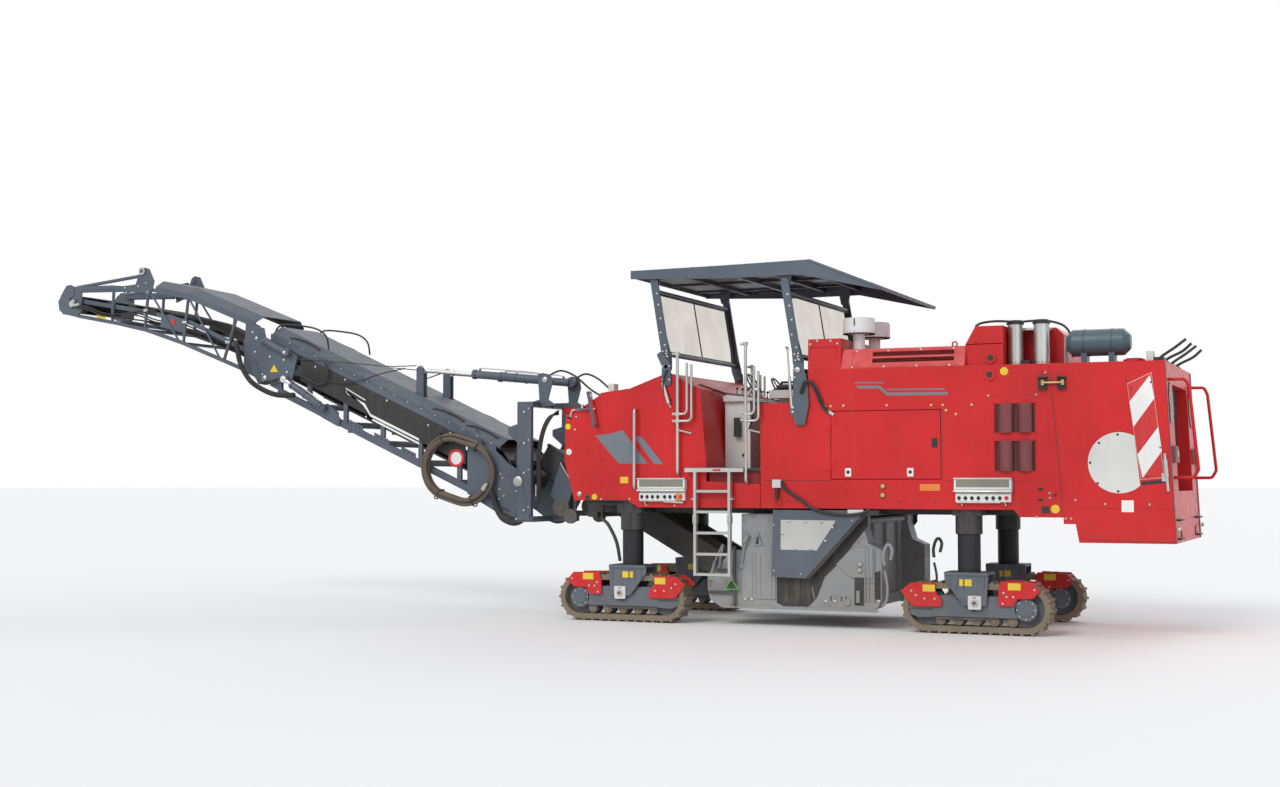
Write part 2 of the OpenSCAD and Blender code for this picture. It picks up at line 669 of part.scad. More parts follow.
module door(side) color(red) mirror([0, side < 0 ? 1 : 0, 0]) difference() {
    union() {
        block([door_x0 + door_gap, body_half_w - door_t, door_z0 + door_gap],
            [door_x1 - door_gap, body_half_w, door_z1 - door_gap]);
        for (z = hinge_z) knuckle(z + knuckle_h + 0.5, 1);
    }
    for (z = hinge_z) translate([hinge_x, hinge_y, z])
        cylinder(d = hinge_pin_d + 2 * pin_gap, h = 3 * knuckle_h);
}

module primary_conveyor() color(dark) along(load_tail, load_head) {
    both_sides() {
        block([-60, load_w / 2 - 30, -150], [load_len + 60, load_w / 2, 150]);
        block([-60, load_w / 2, 120], [load_len + 60, load_w / 2 + 30, 150]);
    }
    for (x = [300 : 400 : load_len - load_r - 60])
        cross_pin(x, load_r - belt_t - 30.3, 60, -load_w / 2, load_w / 2);
    // Cross tube that hangs the conveyor between the frame's rails
    cross_pin(load_hang, 0, 80, -rail_y, rail_y);
}

module primary_belt() color(rubber) along(load_tail, load_head) difference() {
    union() {
        block([0, -load_belt_w / 2, -load_r], [load_len, load_belt_w / 2, load_r]);
        for (x = [0, load_len]) cross_pin(x, 0, 2 * load_r, -load_belt_w / 2, load_belt_w / 2);
    }
    block([load_r, -load_belt_w, -load_r + belt_t], [load_len - load_r, load_belt_w, load_r - belt_t]);
}

module mirrors() color(grey) both_sides() {
    translate([-330, body_half_w + 50, 2430]) rotate([0, -12, 0]) block([-12, -40, -210], [14, 48, 210]);
    block([-560, body_half_w, 2420], [-530, body_half_w + 20, 2450]);
    block([-560, body_half_w + 20, 2424], [-322, body_half_w + 40, 2446]);
}

// Height of the front body's sloping top at a place along the machine
function tank_top_z(x) =
    x < 123 ? 2610 + (x - tank_x0) * 43 / (123 - tank_x0) : 2653 + (x - 123) * 173 / 481;

module lamps() color(off_white) both_sides() {
    for (x = [-180]) xz([[x, tank_top_z(x)], [x + 70, tank_top_z(x + 70)], [x + 70, tank_top_z(x) + 110],
        [x, tank_top_z(x) + 110]], 960, 1080);
    block([engine_x1 - 185, 960, body_top_z], [engine_x1 - 115, 1080, body_top_z + 100]);
}

// Base plates of the canopy's arms, with their pins
module canopy_mounts() color(grey) both_sides() {
    y = body_half_w;
    xz([[arm_rear[0] - 55, arm_rear[1] + 40], [arm_rear[0] + 55, arm_rear[1] + 40],
        [arm_rear[0] + 95, 2400], [arm_rear[0] + 60, 2210], [arm_rear[0] - 25, 2210],
        [arm_rear[0] - 60, 2400]], y, y + mount_t);
    xz([[arm_front[0] - 50, arm_front[1] + 45], [arm_front[0] + 50, arm_front[1] + 45],
        [arm_front[0] + 60, 2690], [arm_front[0] - 60, 2690]], y, y + mount_t);
    for (p = [arm_front, arm_rear])
        cross_pin(p[0], p[1], canopy_pin_d, min(y, arm_out - arm_t - 6), max(arm_out + 6, y + mount_t + 8));
}

// Draws along the canopy arm that stands on a pivot, z running up the arm
module on_arm(p) translate([p[0], 0, p[1]]) rotate([0, -arm_lean, 0]) children();

module arm_pair(p) on_arm(p) {
    both_sides() difference() {
        union() {
            block([-arm_w / 2, arm_out - arm_t, 0], [arm_w / 2, arm_out, arm_len]);
            for (z = [0, arm_len]) cross_pin(0, z, arm_w, arm_out - arm_t, arm_out);
        }
        for (z = [0, arm_len])
            cross_pin(0, z, canopy_pin_d + 2 * pin_gap, arm_out - arm_t - 1, arm_out + 1);
    }
    for (z = [150, 880]) cross_pin(0, z, 50, -arm_out + arm_t, arm_out - arm_t);
}

module screen(p) on_arm(p)
    block([-glass_t / 2, -arm_out + arm_t + fit, 176], [glass_t / 2, arm_out - arm_t - fit, 854]);

module front_arms() color(grey) arm_pair(arm_front);
module rear_arms() color(grey) arm_pair(arm_rear);
module front_screen() color([0.6, 0.65, 0.6, 0.5]) screen(arm_front);
module rear_screen() color([0.6, 0.65, 0.6, 0.5]) screen(arm_rear);

module roof() color(grey) {
    xz([[135, 4015], [1270, 4022], [2282, 4036], [3109, 3690], [3100, 3700 - roof_t], [2275, 4036 - roof_t],
        [1270, 4022 - roof_t], [150, 4015 - roof_t]], -roof_half_w, roof_half_w);
    both_sides() {
        // Side beams and the brackets that hold the arms' upper pins
        xz([[140, 4000], [140, 3921], [1270, 3874], [2166, 3877], [3100, 3663], [3105, 3680], [2280, 4020],
            [1270, 4000]], roof_half_w - 16, roof_half_w);
        for (p = [arm_front, arm_rear]) {
            q = p + arm_tip;
            xz([[q[0] - 45, q[1] - 45], [q[0] + 45, q[1] - 45], [q[0] + 90, 4000], [q[0] - 90, 4000]],
                arm_out - arm_t - 30, arm_out - arm_t - 8);
            cross_pin(q[0], q[1], canopy_pin_d, arm_out - arm_t - 20, arm_out - 2);
        }
    }
    block([150, -roof_half_w + 16, 3930], [170, roof_half_w - 16, 3990]);
    block([1260, -roof_half_w + 16, 3930], [1300, roof_half_w - 16, 4000]);
}

// The discharge conveyor is drawn in reach: distance ahead of the slewing axis

// Point at a reach and a height
function ahead(r, z) = [slew_x - r, z];

// Extrudes an outline of [reach, z] points between two distances from the middle plane
module side(points, y0, y1) xz([for (p = points) ahead(p[0], p[1])], y0, y1);

// Pin across the conveyor at a [reach, z] point
module reach_pin(p, d, y0, y1, fn = 40) cross_pin(slew_x - p[0], p[1], d, y0, y1, fn);

// Draws along a line between two [reach, z] points: x runs along it and z is square to it
module along(a, b) translate([slew_x - a[0], 0, a[1]])
    rotate([0, -atan2(b[1] - a[1], b[0] - a[0]), 180]) children();

module mast() color(grey) {
    both_sides() {
        difference() {
            union() {
                side([[post_r0, mast_z1], [post_r0 + post_w, mast_z1], [post_r0 + post_w, mast_z0],
                    [post_r0, mast_z0]], post_y, post_y + post_t);
                // Cheek that carries the upper arm and the lift cylinder
                side([[post_r0 + 120, mast_z1], [post_r0, 2600], [250, 2905], [180, 2925], [80, 2900],
                    [60, 2780], [110, 2600], [20, 2540], [20, mast_z1 - 40], [post_r0 + 120, mast_z1 - 60]],
                    lift_y + 60, lift_y + 85);
                side([[post_r0 - 20, mast_z1], [post_r0 + 120, mast_z1], [post_r0 + 120, mast_z1 - 60],
                    [post_r0 - 20, mast_z1 - 60]], lift_y + 60, post_y + post_t);
            }
            reach_pin([lift_r, lift_z], lift_pin_d + 2 * pin_gap, post_y - 1, post_y + post_t + 1);
        }
        reach_pin(lift_base, lift_pin2_d, lift_y - 34, lift_y + 85);
    }
    // Cross pieces with the two slewing pins
    for (c = [[slew_low_z - 70, slew_low_z - gap, slew_low_z + slew_low_t + 20],
        [slew_top_z + slew_top_t + gap, mast_z1, slew_top_z - 20]]) {
        side([[post_r0 - 20, c[0]], [post_r0 + 100, c[0]], [post_r0 + 100, c[1]], [post_r0 - 20, c[1]]],
            -post_y - post_t, post_y + post_t);
        side([[-70, c[0]], [post_r0, c[0]], [post_r0, c[1]], [-70, c[1]]], -100, 100);
        translate([slew_x, 0, min(c[0], c[2])]) cylinder(r = slew_r, h = abs(c[2] - c[0]));
    }
}

module lift_barrels() color(grey) along(lift_base, lift_eye) both_sides()
translate([0, lift_y, 0]) difference() {
    union() {
        cross_pin(0, 0, 110, -32, 32);
        translate([20, 0, 0]) rotate([0, 90, 0]) cylinder(d = barrel_d, h = barrel_len - 20);
    }
    cross_pin(0, 0, lift_pin2_d + 2 * pin_gap, -60, 60);
    translate([barrel_dead, 0, 0]) rotate([0, 90, 0]) cylinder(d = rod_d + 2 * pin_gap, h = barrel_len);
}

module lift_rods() color(steel) along(lift_base, lift_eye) both_sides()
translate([0, lift_y, 0]) difference() {
    union() {
        translate([barrel_dead + 300, 0, 0]) rotate([0, 90, 0])
            cylinder(d = rod_d, h = lift_len - barrel_dead - 330);
        cross_pin(lift_len, 0, lift_eye_d, -30, 30);
    }
    cross_pin(lift_len, 0, lift_pin3_d + 2 * eye_play, -40, 40);
}

// Height of the boom's upper and lower edge at a reach
function bot_z(r) = 2290 + (r - 3006) * tan(boom_angle);
function top_z(r) = bot_z(r) + boom_h;

// Strip of an outline that keeps a height over the boom's lower edge
module strip(r0, r1, low, high, y0, y1)
    side([[r0, bot_z(r0) + low], [r1, bot_z(r1) + low], [r1, bot_z(r1) + high], [r0, bot_z(r0) + high]],
        y0, y1);

// The two side trusses of the lower section
module boom_frame() color(grey) both_sides() {
    y = boom_w / 2;
    e = boom_end_r;
    strip(1141, e - 120, 0, chord, y - chord_w, y);
    strip(760, e, boom_h - chord, boom_h, y - chord_w, y);
    for (r = [1250 : web_pitch : e - 200]) strip(r, r + 60, 20, boom_h - 20, y - 45, y - 5);
    strip(e - 180, e, 60, boom_h - 20, y - 45, y);
    strip(800, e - 20, 430, 500, y - 70, y - 44);
    // Foot of the boom with the hopper's cheek
    side([[356, 1370], [440, 1180], [560, 1095], [760, 1230], [1160, 1450], [1160, 2150], [866, 2078],
        [600, 1830], [420, 1720]], y - 12, y);
    reach_pin([lift_r, lift_z], 200, y - 12, y + 16);
    reach_pin([lift_r, lift_z], lift_pin_d, y - 12, post_y + post_t + 12);
    // Hinge of the upper section
    reach_pin(fold_at, 150, y - 45, y);
    reach_pin(fold_at, fold_hinge_d, y, y + 30);
}

// Brackets of the fold cylinders on the boom's lower rails, each with its pin
module fold_brackets() color(grey) both_sides() {
    y = boom_w / 2;
    side([for (p = [[-181, -238], [65, -118], [45, 32], [-35, 52], [-205, -68]]) fold_base + p],
        y, y + 20);
    reach_pin(fold_base, fold_pin_d, y + 10, fold_cyl_y + 36);
}

// Cross pieces between the trusses, one of them with the ears of the lift cylinders
module boom_crossbars() color(grey) {
    y = boom_w / 2 - chord_w;
    r = lift_eye[0];
    for (r = [1300 : web_pitch : boom_end_r - 200]) strip(r, r + 70, 10, 60, -y, y);
    strip(r - 60, r + 60, boom_h - 80, boom_h - 20, -y, y);
    both_sides() {
        for (dy = [-50, 34])
            side([[r - 50, top_z(r) - 60], [r + 50, top_z(r) - 60], [r + 50, lift_eye[1] + 20],
                [r + 20, lift_eye[1] + 45], [r - 20, lift_eye[1] + 45], [r - 50, lift_eye[1] + 20]],
                lift_y + dy, lift_y + dy + 16);
        reach_pin(lift_eye, lift_pin3_d, lift_y - 50, lift_y + 50);
    }
}

// Cover profile, [across, up] from the boom's upper edge
module cover_profile(w, t) difference() {
    polygon([[-w, 0], [-w, 30], [-w + 130, 120], [w - 130, 120], [w, 30], [w, 0]]);
    polygon([[-w + t, -1], [-w + t, 30 - t / 3], [-w + 130 + t / 3, 120 - t], [w - 130 - t / 3, 120 - t],
        [w - t, 30 - t / 3], [w - t, -1]]);
}

module cover(a, b, extra = 0) along(a, b)
    translate([-extra, 0, 0]) rotate([90, 0, 90]) linear_extrude(norm(b - a) + 2 * extra)
        cover_profile(cover_w, plate_t);

module boom_cover() color(grey) difference() {
    cover([700, top_z(700) + cover_seat], [boom_end_r - 30, top_z(boom_end_r - 30) + cover_seat]);
    // Slots for the lift cylinders' ears
    for (s = [-1, 1]) side([for (k = [[-75, 40], [75, 40], [75, 260], [-75, 260]])
        [lift_eye[0] + k[0], top_z(lift_eye[0]) + k[1]]], s * lift_y - 58, s * lift_y + 58);
}

module boom_belt() color(rubber) {
    e = boom_end_r - 40;
    strip(640, e, 520, 520 + belt_t, -belt_w / 2, belt_w / 2);
    strip(640, e, 230, 230 + belt_t, -belt_w / 2, belt_w / 2);
    reach_pin([640, bot_z(640) + 382], 304 * cos(boom_angle), -belt_w / 2, belt_w / 2, 60);
    reach_pin([640, bot_z(640) + 382], 60, -boom_w / 2 + 12, boom_w / 2 - 12);
    for (r = [1000 : 400 : e]) reach_pin([r, bot_z(r) + 492], 56, -boom_w / 2 + 70.3, boom_w / 2 - 70.3);
}

module boom_sheets() color(rubber) both_sides()
    strip(1180, boom_end_r - 480, 330, 660, boom_w / 2, boom_w / 2 + sheet_t);

// Hose hanked on the near side of the boom: the outer shape of the hank, an oval ring with round ends
module hose_coil() color([0.20, 0.14, 0.10])
    translate([slew_x - coil_c[0], -coil_y + coil_d / 2, coil_c[1]])
    rotate([90, coil_tilt, 0]) linear_extrude(coil_d) difference() {
        hank_outline(coil_out);
        hank_outline(coil_out - coil_band);
    }

module hank_outline(r) {
    for (s = [-1, 1]) translate([s * coil_half, 0]) circle(r = r, $fn = 72);
    square([2 * coil_half, 2 * r], center = true);
}

// Moves what is drawn from the end of the lower section
module from_boom_end() translate([-boom_end_r, 0, bot_z(boom_end_r)]) children();

// Band of a given depth under or over a line of [reach, z] points
module band(line, low, high, y0, y1)
    side(concat([for (p = line) [p[0], p[1] + low]],
        [for (i = [len(line) - 1 : -1 : 0]) [line[i][0], line[i][1] + high]]), y0, y1);

// The two side trusses of the upper section
module tip_frame() color(grey) from_boom_end() both_sides() {
    y = boom_w / 2;
    band(tip_top, -50, 0, y - 45, y);
    band(tip_low, -20, 30, y - 45, y);
    for (p = [[770, 410, 570, 1000, 42], [1444, 665, 1370, 1310, 42], [2100, 870, 2050, 1450, 42],
        [2670, 1000, 2650, 1500, 42], [830, 440, 1350, 1280, 28], [1510, 690, 2020, 1410, 28]])
        bar([slew_x - p[0], y - 22, p[1]], [slew_x - p[2], y - 22, p[3] - 20], p[4], 16);
    band(tip_rail, -70, -10, y - 64, y - 40);
    // Rocker plate outside the lower section
    difference() {
        side([[316, 884], [94, 820], [65, 700], [-300, 520], [-441, 429], [-350, 95], [-310, 80],
            [-170, 100], [50, 70], [170, 90], [290, 270], [396, 500], [420, 640]], y + 8, y + 26);
        reach_pin(hinge_rel, fold_hinge_d + 2 * pin_gap, y, y + 30);
    }
    side([[200, 850], [210, 170], [430, 270], [400, 870], [316, 884]], y - 45, y + 8);
    reach_pin(eye_rel, 90, y + 26, fold_cyl_y - 26 - gap);
    // Stay between the plate and the section's upper chord
    bar([slew_x + 340, fold_cyl_y, 460], [slew_x - 60, fold_cyl_y, 655], 84, 24);
    for (p = [[-340, 460], [60, 655]]) reach_pin(p, 50, y + 26, fold_cyl_y + 40);
    // Head with the tip drum's bearings
    side([[3200, 1500], [3329, 1508], [3423, 1545], [3520, 1490], [3580, 1380], [3620, 1330], [3600, 1210],
        [3535, 1150], [3270, 1090], [3200, 1170]], y - 16, y);
    side([[2109, 1727], [2025, 1705], [1935, 1535], [1970, 1400], [2240, 1400], [2444, 1400], [2462, 1489],
        [2250, 1502], [2210, 1600], [2155, 1705]], y - 10, y + 8);
    reach_pin([2130, 1660], 80, y - 24, y + 20);
}

module tip_crossbars() color(grey) from_boom_end() {
    y = boom_w / 2 - 45;
    for (p = tip_cross) bar([slew_x - p[0], -y, p[1]], [slew_x - p[0], y, p[1]], 44, 24);
}

module tip_cover() color(grey) from_boom_end() {
    pts = [[250, 880], [1339, 1302.6], [1900, 1423]];
    for (i = [0 : 1]) cover(pts[i], pts[i + 1], i == 0 ? 0 : 12);
}

module tip_belt() color(rubber) from_boom_end() {
    upper = [[290, 540], [1339, 1000], [2170, 1200], [3350, 1400]];
    lower = [[290, 360], [1339, 770], [2370, 1030], [3350, 1155]];
    w = belt_w / 2;
    band(upper, -belt_t, 0, -w, w);
    band(lower, 0, belt_t, -w, w);
    reach_pin([3350, 1278], 246, -w, w, 60);
    reach_pin([3350, 1278], 70, -boom_w / 2 + 16, boom_w / 2 - 16);
    for (r = [670 : 350 : 2970])
        reach_pin([r, lookup(r, upper) - 40], 56, -boom_w / 2 + 64.3, boom_w / 2 - 64.3);
}

module fold_barrels() color(grey) along(fold_base, fold_eye) both_sides()
translate([0, fold_cyl_y, 0]) difference() {
    union() {
        cross_pin(0, 0, 96, -26, 26);
        translate([20, 0, 0]) rotate([0, 90, 0]) cylinder(d = 92, h = 560);
    }
    cross_pin(0, 0, fold_pin_d + 2 * pin_gap, -60, 60);
    translate([70, 0, 0]) rotate([0, 90, 0]) cylinder(d = 50 + 2 * pin_gap, h = 600);
}

// Rods of the fold cylinders, each with its eye and the head of the pin in it
module fold_rods() color(steel) along(fold_base, fold_eye) both_sides() translate([0, fold_cyl_y, 0]) {
    translate([90, 0, 0]) rotate([0, 90, 0]) cylinder(d = 50, h = fold_len - 100);
    cross_pin(fold_len, 0, 88, -26, 26);
    cross_pin(fold_len, 0, fold_pin_d, -26, 36);
}

// The parts at the four corners and at the two sides
module door_left() door(-1);
module door_right() door(1);
module undercarriage_fl() at_corner(0, -1) undercarriage();
module guards_fl() at_corner(0, -1) guards();
module track_fl() at_corner(0, -1) track_unit();
module undercarriage_fr() at_corner(0, 1) undercarriage();
module guards_fr() at_corner(0, 1) guards();
module track_fr() at_corner(0, 1) track_unit();
module undercarriage_rl() at_corner(1, -1) undercarriage();
module guards_rl() at_corner(1, -1) guards();
module track_rl() at_corner(1, -1) track_unit();
module undercarriage_rr() at_corner(1, 1) undercarriage();
module guards_rr() at_corner(1, 1) guards();
module track_rr() at_corner(1, 1) track_unit();

// Every part of the machine
place() frame();
place() front_body();
place() front_cheeks();
place() engine_body();
place() engine_hood();
place() engine_block();
place() exhaust_stacks();
place() air_tank();
place() air_cleaners();
place() grilles();
place() rear_rails();
place() side_plates();
place() platform();
place() operator_station();
place() handrails();
place() ladders();
place() control_boxes();
place() drum_housing();
place() primary_conveyor();
place() primary_belt();
place() mirrors();
place() lamps();
place() canopy_mounts();
place() drum();
place() scraper_gate();
place() door_left();
place() door_right();
place() undercarriage_fl();
place() undercarriage_fr();
place() undercarriage_rl();
place() undercarriage_rr();
place() guards_fl();
place() guards_fr();
place() guards_rl();
place() guards_rr();
place() track_fl();
place() track_fr();
place() track_rl();
place() track_rr();
place() mast();
place() lift_barrels();
place() lift_rods();
place() boom_frame();
place() fold_brackets();
place() boom_crossbars();
place() boom_cover();
place() boom_belt();
place() boom_sheets();
place() hose_coil();
place() tip_frame();
place() tip_crossbars();
place() tip_cover();
place() tip_belt();
place() fold_barrels();
place() fold_rods();
place() roof();
place() front_arms();
place() front_screen();
place() rear_arms();
place() rear_screen();
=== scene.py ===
import json
import math

import bmesh
import bpy
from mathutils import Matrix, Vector

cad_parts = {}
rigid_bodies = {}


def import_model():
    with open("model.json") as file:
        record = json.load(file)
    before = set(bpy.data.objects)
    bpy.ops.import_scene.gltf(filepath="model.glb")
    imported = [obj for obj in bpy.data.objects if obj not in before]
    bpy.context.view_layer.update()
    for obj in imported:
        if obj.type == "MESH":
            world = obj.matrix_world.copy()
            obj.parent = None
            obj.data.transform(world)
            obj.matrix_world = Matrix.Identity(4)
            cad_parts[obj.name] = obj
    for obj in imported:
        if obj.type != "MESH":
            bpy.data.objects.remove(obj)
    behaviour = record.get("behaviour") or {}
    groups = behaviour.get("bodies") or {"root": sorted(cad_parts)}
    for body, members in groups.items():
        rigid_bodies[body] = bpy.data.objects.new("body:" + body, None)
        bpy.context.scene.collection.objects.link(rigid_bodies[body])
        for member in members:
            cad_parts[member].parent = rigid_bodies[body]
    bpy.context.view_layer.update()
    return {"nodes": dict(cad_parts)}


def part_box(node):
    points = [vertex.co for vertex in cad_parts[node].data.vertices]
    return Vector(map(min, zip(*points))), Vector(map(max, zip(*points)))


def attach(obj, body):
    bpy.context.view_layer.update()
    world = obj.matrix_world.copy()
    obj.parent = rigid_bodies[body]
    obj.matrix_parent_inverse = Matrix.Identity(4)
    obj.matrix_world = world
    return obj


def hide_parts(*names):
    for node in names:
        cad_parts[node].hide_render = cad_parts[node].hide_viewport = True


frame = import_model()

# Places are written in millimetres in the machine's own layout: x = 0 at the front tracks' pivot and
# growing to the rear, y = 0 in the middle plane with the near side negative, z = 0 on the ground.
MM = 0.001
track_low, track_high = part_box("track_fl")
PIVOT_X = (track_low[0] + track_high[0]) / 2
SLEW_X = -1200
BODY_W = 1150
BOOM_W = 540
LEFT = -1
RIGHT = 1
SIDES = (LEFT, RIGHT)


def at(x, y, z):
    """A place of the machine's layout, in metres of the frame."""
    return Vector((PIVOT_X + x * MM, y * MM, z * MM))


def ahead(reach, z, y=0.0):
    """A place on the conveyor, by its distance ahead of the slewing axis."""
    return (SLEW_X - reach, y, z)


def all_ahead(outline):
    """An [x, z] outline from [reach, z] points of the conveyor."""
    return [(SLEW_X - reach, z) for reach, z in outline]


def path_ahead(places, side):
    """A line along one side of the conveyor, from [reach, z, distance from the middle plane] places."""
    return [ahead(reach, z, side * y) for reach, z, y in places]


def from_face(side, face=BODY_W):
    """Gives places across the machine by their distance out from the face of one side."""
    return lambda out=0: side * (face + out)


def around(count):
    """Evenly spaced angles of a full turn."""
    return [math.tau * k / count for k in range(count)]


# Camera and light

CAMERA_PLACE = (8173, -18870, 1605)
CAMERA_YAW = 24.087
CAMERA_PITCH = 2.946
SENSOR = 36.0
LENS = 47.81
CLIP_END = 900


def add_camera():
    data = bpy.data.cameras.new("camera")
    data.sensor_width = SENSOR
    data.lens = LENS
    data.clip_end = CLIP_END
    camera = bpy.data.objects.new("camera", data)
    camera.location = at(*CAMERA_PLACE)
    camera.rotation_euler = (math.radians(90 + CAMERA_PITCH), 0, math.radians(CAMERA_YAW))
    bpy.context.collection.objects.link(camera)
    bpy.context.scene.camera = camera
    bpy.context.scene.view_settings.view_transform = "Standard"


def add_soft_light(name, place, aim, spread, strength, colour=(1, 1, 1)):
    """An even light from the direction of a place, with the soft edges of a large lamp."""
    data = bpy.data.lights.new(name, "SUN")
    data.angle = math.radians(spread)
    data.energy = strength
    data.color = colour
    lamp = bpy.data.objects.new(name, data)
    lamp.location = at(*place)
    lamp.rotation_euler = (at(*aim) - at(*place)).to_track_quat("-Z", "Y").to_euler()
    bpy.context.collection.objects.link(lamp)


def background_switch(nodes, links, lit, seen):
    """Mixes a lit shader with a plain white one that only camera, glossy and transmitted rays see."""
    path = nodes.new("ShaderNodeLightPath")
    either = nodes.new("ShaderNodeMath")
    either.operation = "MAXIMUM"
    links.new(path.outputs["Is Camera Ray"], either.inputs[0])
    links.new(path.outputs["Is Glossy Ray"], either.inputs[1])
    third = nodes.new("ShaderNodeMath")
    third.operation = "MAXIMUM"
    links.new(either.outputs[0], third.inputs[0])
    links.new(path.outputs["Is Transmission Ray"], third.inputs[1])
    mix = nodes.new("ShaderNodeMixShader")
    links.new(third.outputs[0], mix.inputs[0])
    links.new(lit, mix.inputs[1])
    links.new(seen, mix.inputs[2])
    return mix.outputs[0]


FLOOR_REACH = 400
FLOOR_SIDES = 64
FLOOR_COLOUR = (0.92, 0.92, 0.91, 1)
SKY_COLOUR = (0.92, 0.95, 1.0, 1)
SKY_STRENGTH = 0.66


def add_stage():
    """Even sky light, a background that stays white, and a pale floor."""
    world = bpy.data.worlds.new("studio")
    bpy.context.scene.world = world
    world.use_nodes = True
    nodes, links = world.node_tree.nodes, world.node_tree.links
    nodes.clear()
    lit = nodes.new("ShaderNodeBackground")
    lit.inputs["Color"].default_value = SKY_COLOUR
    lit.inputs["Strength"].default_value = SKY_STRENGTH
    seen = nodes.new("ShaderNodeBackground")
    seen.inputs["Color"].default_value = (1, 1, 1, 1)
    seen.inputs["Strength"].default_value = 1
    out = nodes.new("ShaderNodeOutputWorld")
    links.new(background_switch(nodes, links, lit.outputs[0], seen.outputs[0]), out.inputs["Surface"])

    mesh = bpy.data.meshes.new("floor")
    rim = [(FLOOR_REACH * math.cos(a), FLOOR_REACH * math.sin(a), 0) for a in around(FLOOR_SIDES)]
    mesh.from_pydata(rim, [], [tuple(range(FLOOR_SIDES))])
    floor = bpy.data.objects.new("floor", mesh)
    floor.location.z = -0.001
    bpy.context.collection.objects.link(floor)
    material = bpy.data.materials.new("pale_floor")
    material.use_nodes = True
    shader = material.node_tree.nodes["Principled BSDF"]
    shader.inputs["Base Color"].default_value = FLOOR_COLOUR
    shader.inputs["Roughness"].default_value = 0.85
    mesh.materials.append(material)


# Materials

DUST = (0.33, 0.285, 0.225)


def socket_mix(nodes, links, factor, first, second):
    """Colour mix of two colours or colour sockets by a factor socket."""
    mix = nodes.new("ShaderNodeMix")
    mix.data_type = "RGBA"
    links.new(factor, mix.inputs["Factor"])
    for value, name in ((first, "A"), (second, "B")):
        if isinstance(value, tuple):
            [s for s in mix.inputs if s.name == name and s.type == "RGBA"][0].default_value = (*value, 1)
        else:
            links.new(value, [s for s in mix.inputs if s.name == name and s.type == "RGBA"][0])
    return [s for s in mix.outputs if s.type == "RGBA"][0]


def noise(nodes, links, coords, scale, detail=4.0, stretch=None, rough=0.55):
    """Noise value of a coordinate, stretched if asked."""
    source = coords
    if stretch:
        mapping = nodes.new("ShaderNodeMapping")
        mapping.inputs["Scale"].default_value = stretch
        links.new(coords, mapping.inputs["Vector"])
        source = mapping.outputs[0]
    tex = nodes.new("ShaderNodeTexNoise")
    tex.inputs["Scale"].default_value = scale
    tex.inputs["Detail"].default_value = detail
    tex.inputs["Roughness"].default_value = rough
    links.new(source, tex.inputs["Vector"])
    return tex.outputs["Fac"]


def ramp(nodes, links, value, low, high, out_low=0.0, out_high=1.0):
    """Maps a value from one range to another."""
    node = nodes.new("ShaderNodeMapRange")
    node.inputs["From Min"].default_value = low
    node.inputs["From Max"].default_value = high
    node.inputs["To Min"].default_value = out_low
    node.inputs["To Max"].default_value = out_high
    links.new(value, node.inputs["Value"])
    return node.outputs[0]


def combine(nodes, links, operation, a, b):
    """One step of arithmetic on two values or sockets."""
    node = nodes.new("ShaderNodeMath")
    node.operation = operation
    for i, value in enumerate((a, b)):
        if isinstance(value, (int, float)):
            node.inputs[i].default_value = value
        else:
            links.new(value, node.inputs[i])
    return node.outputs[0]


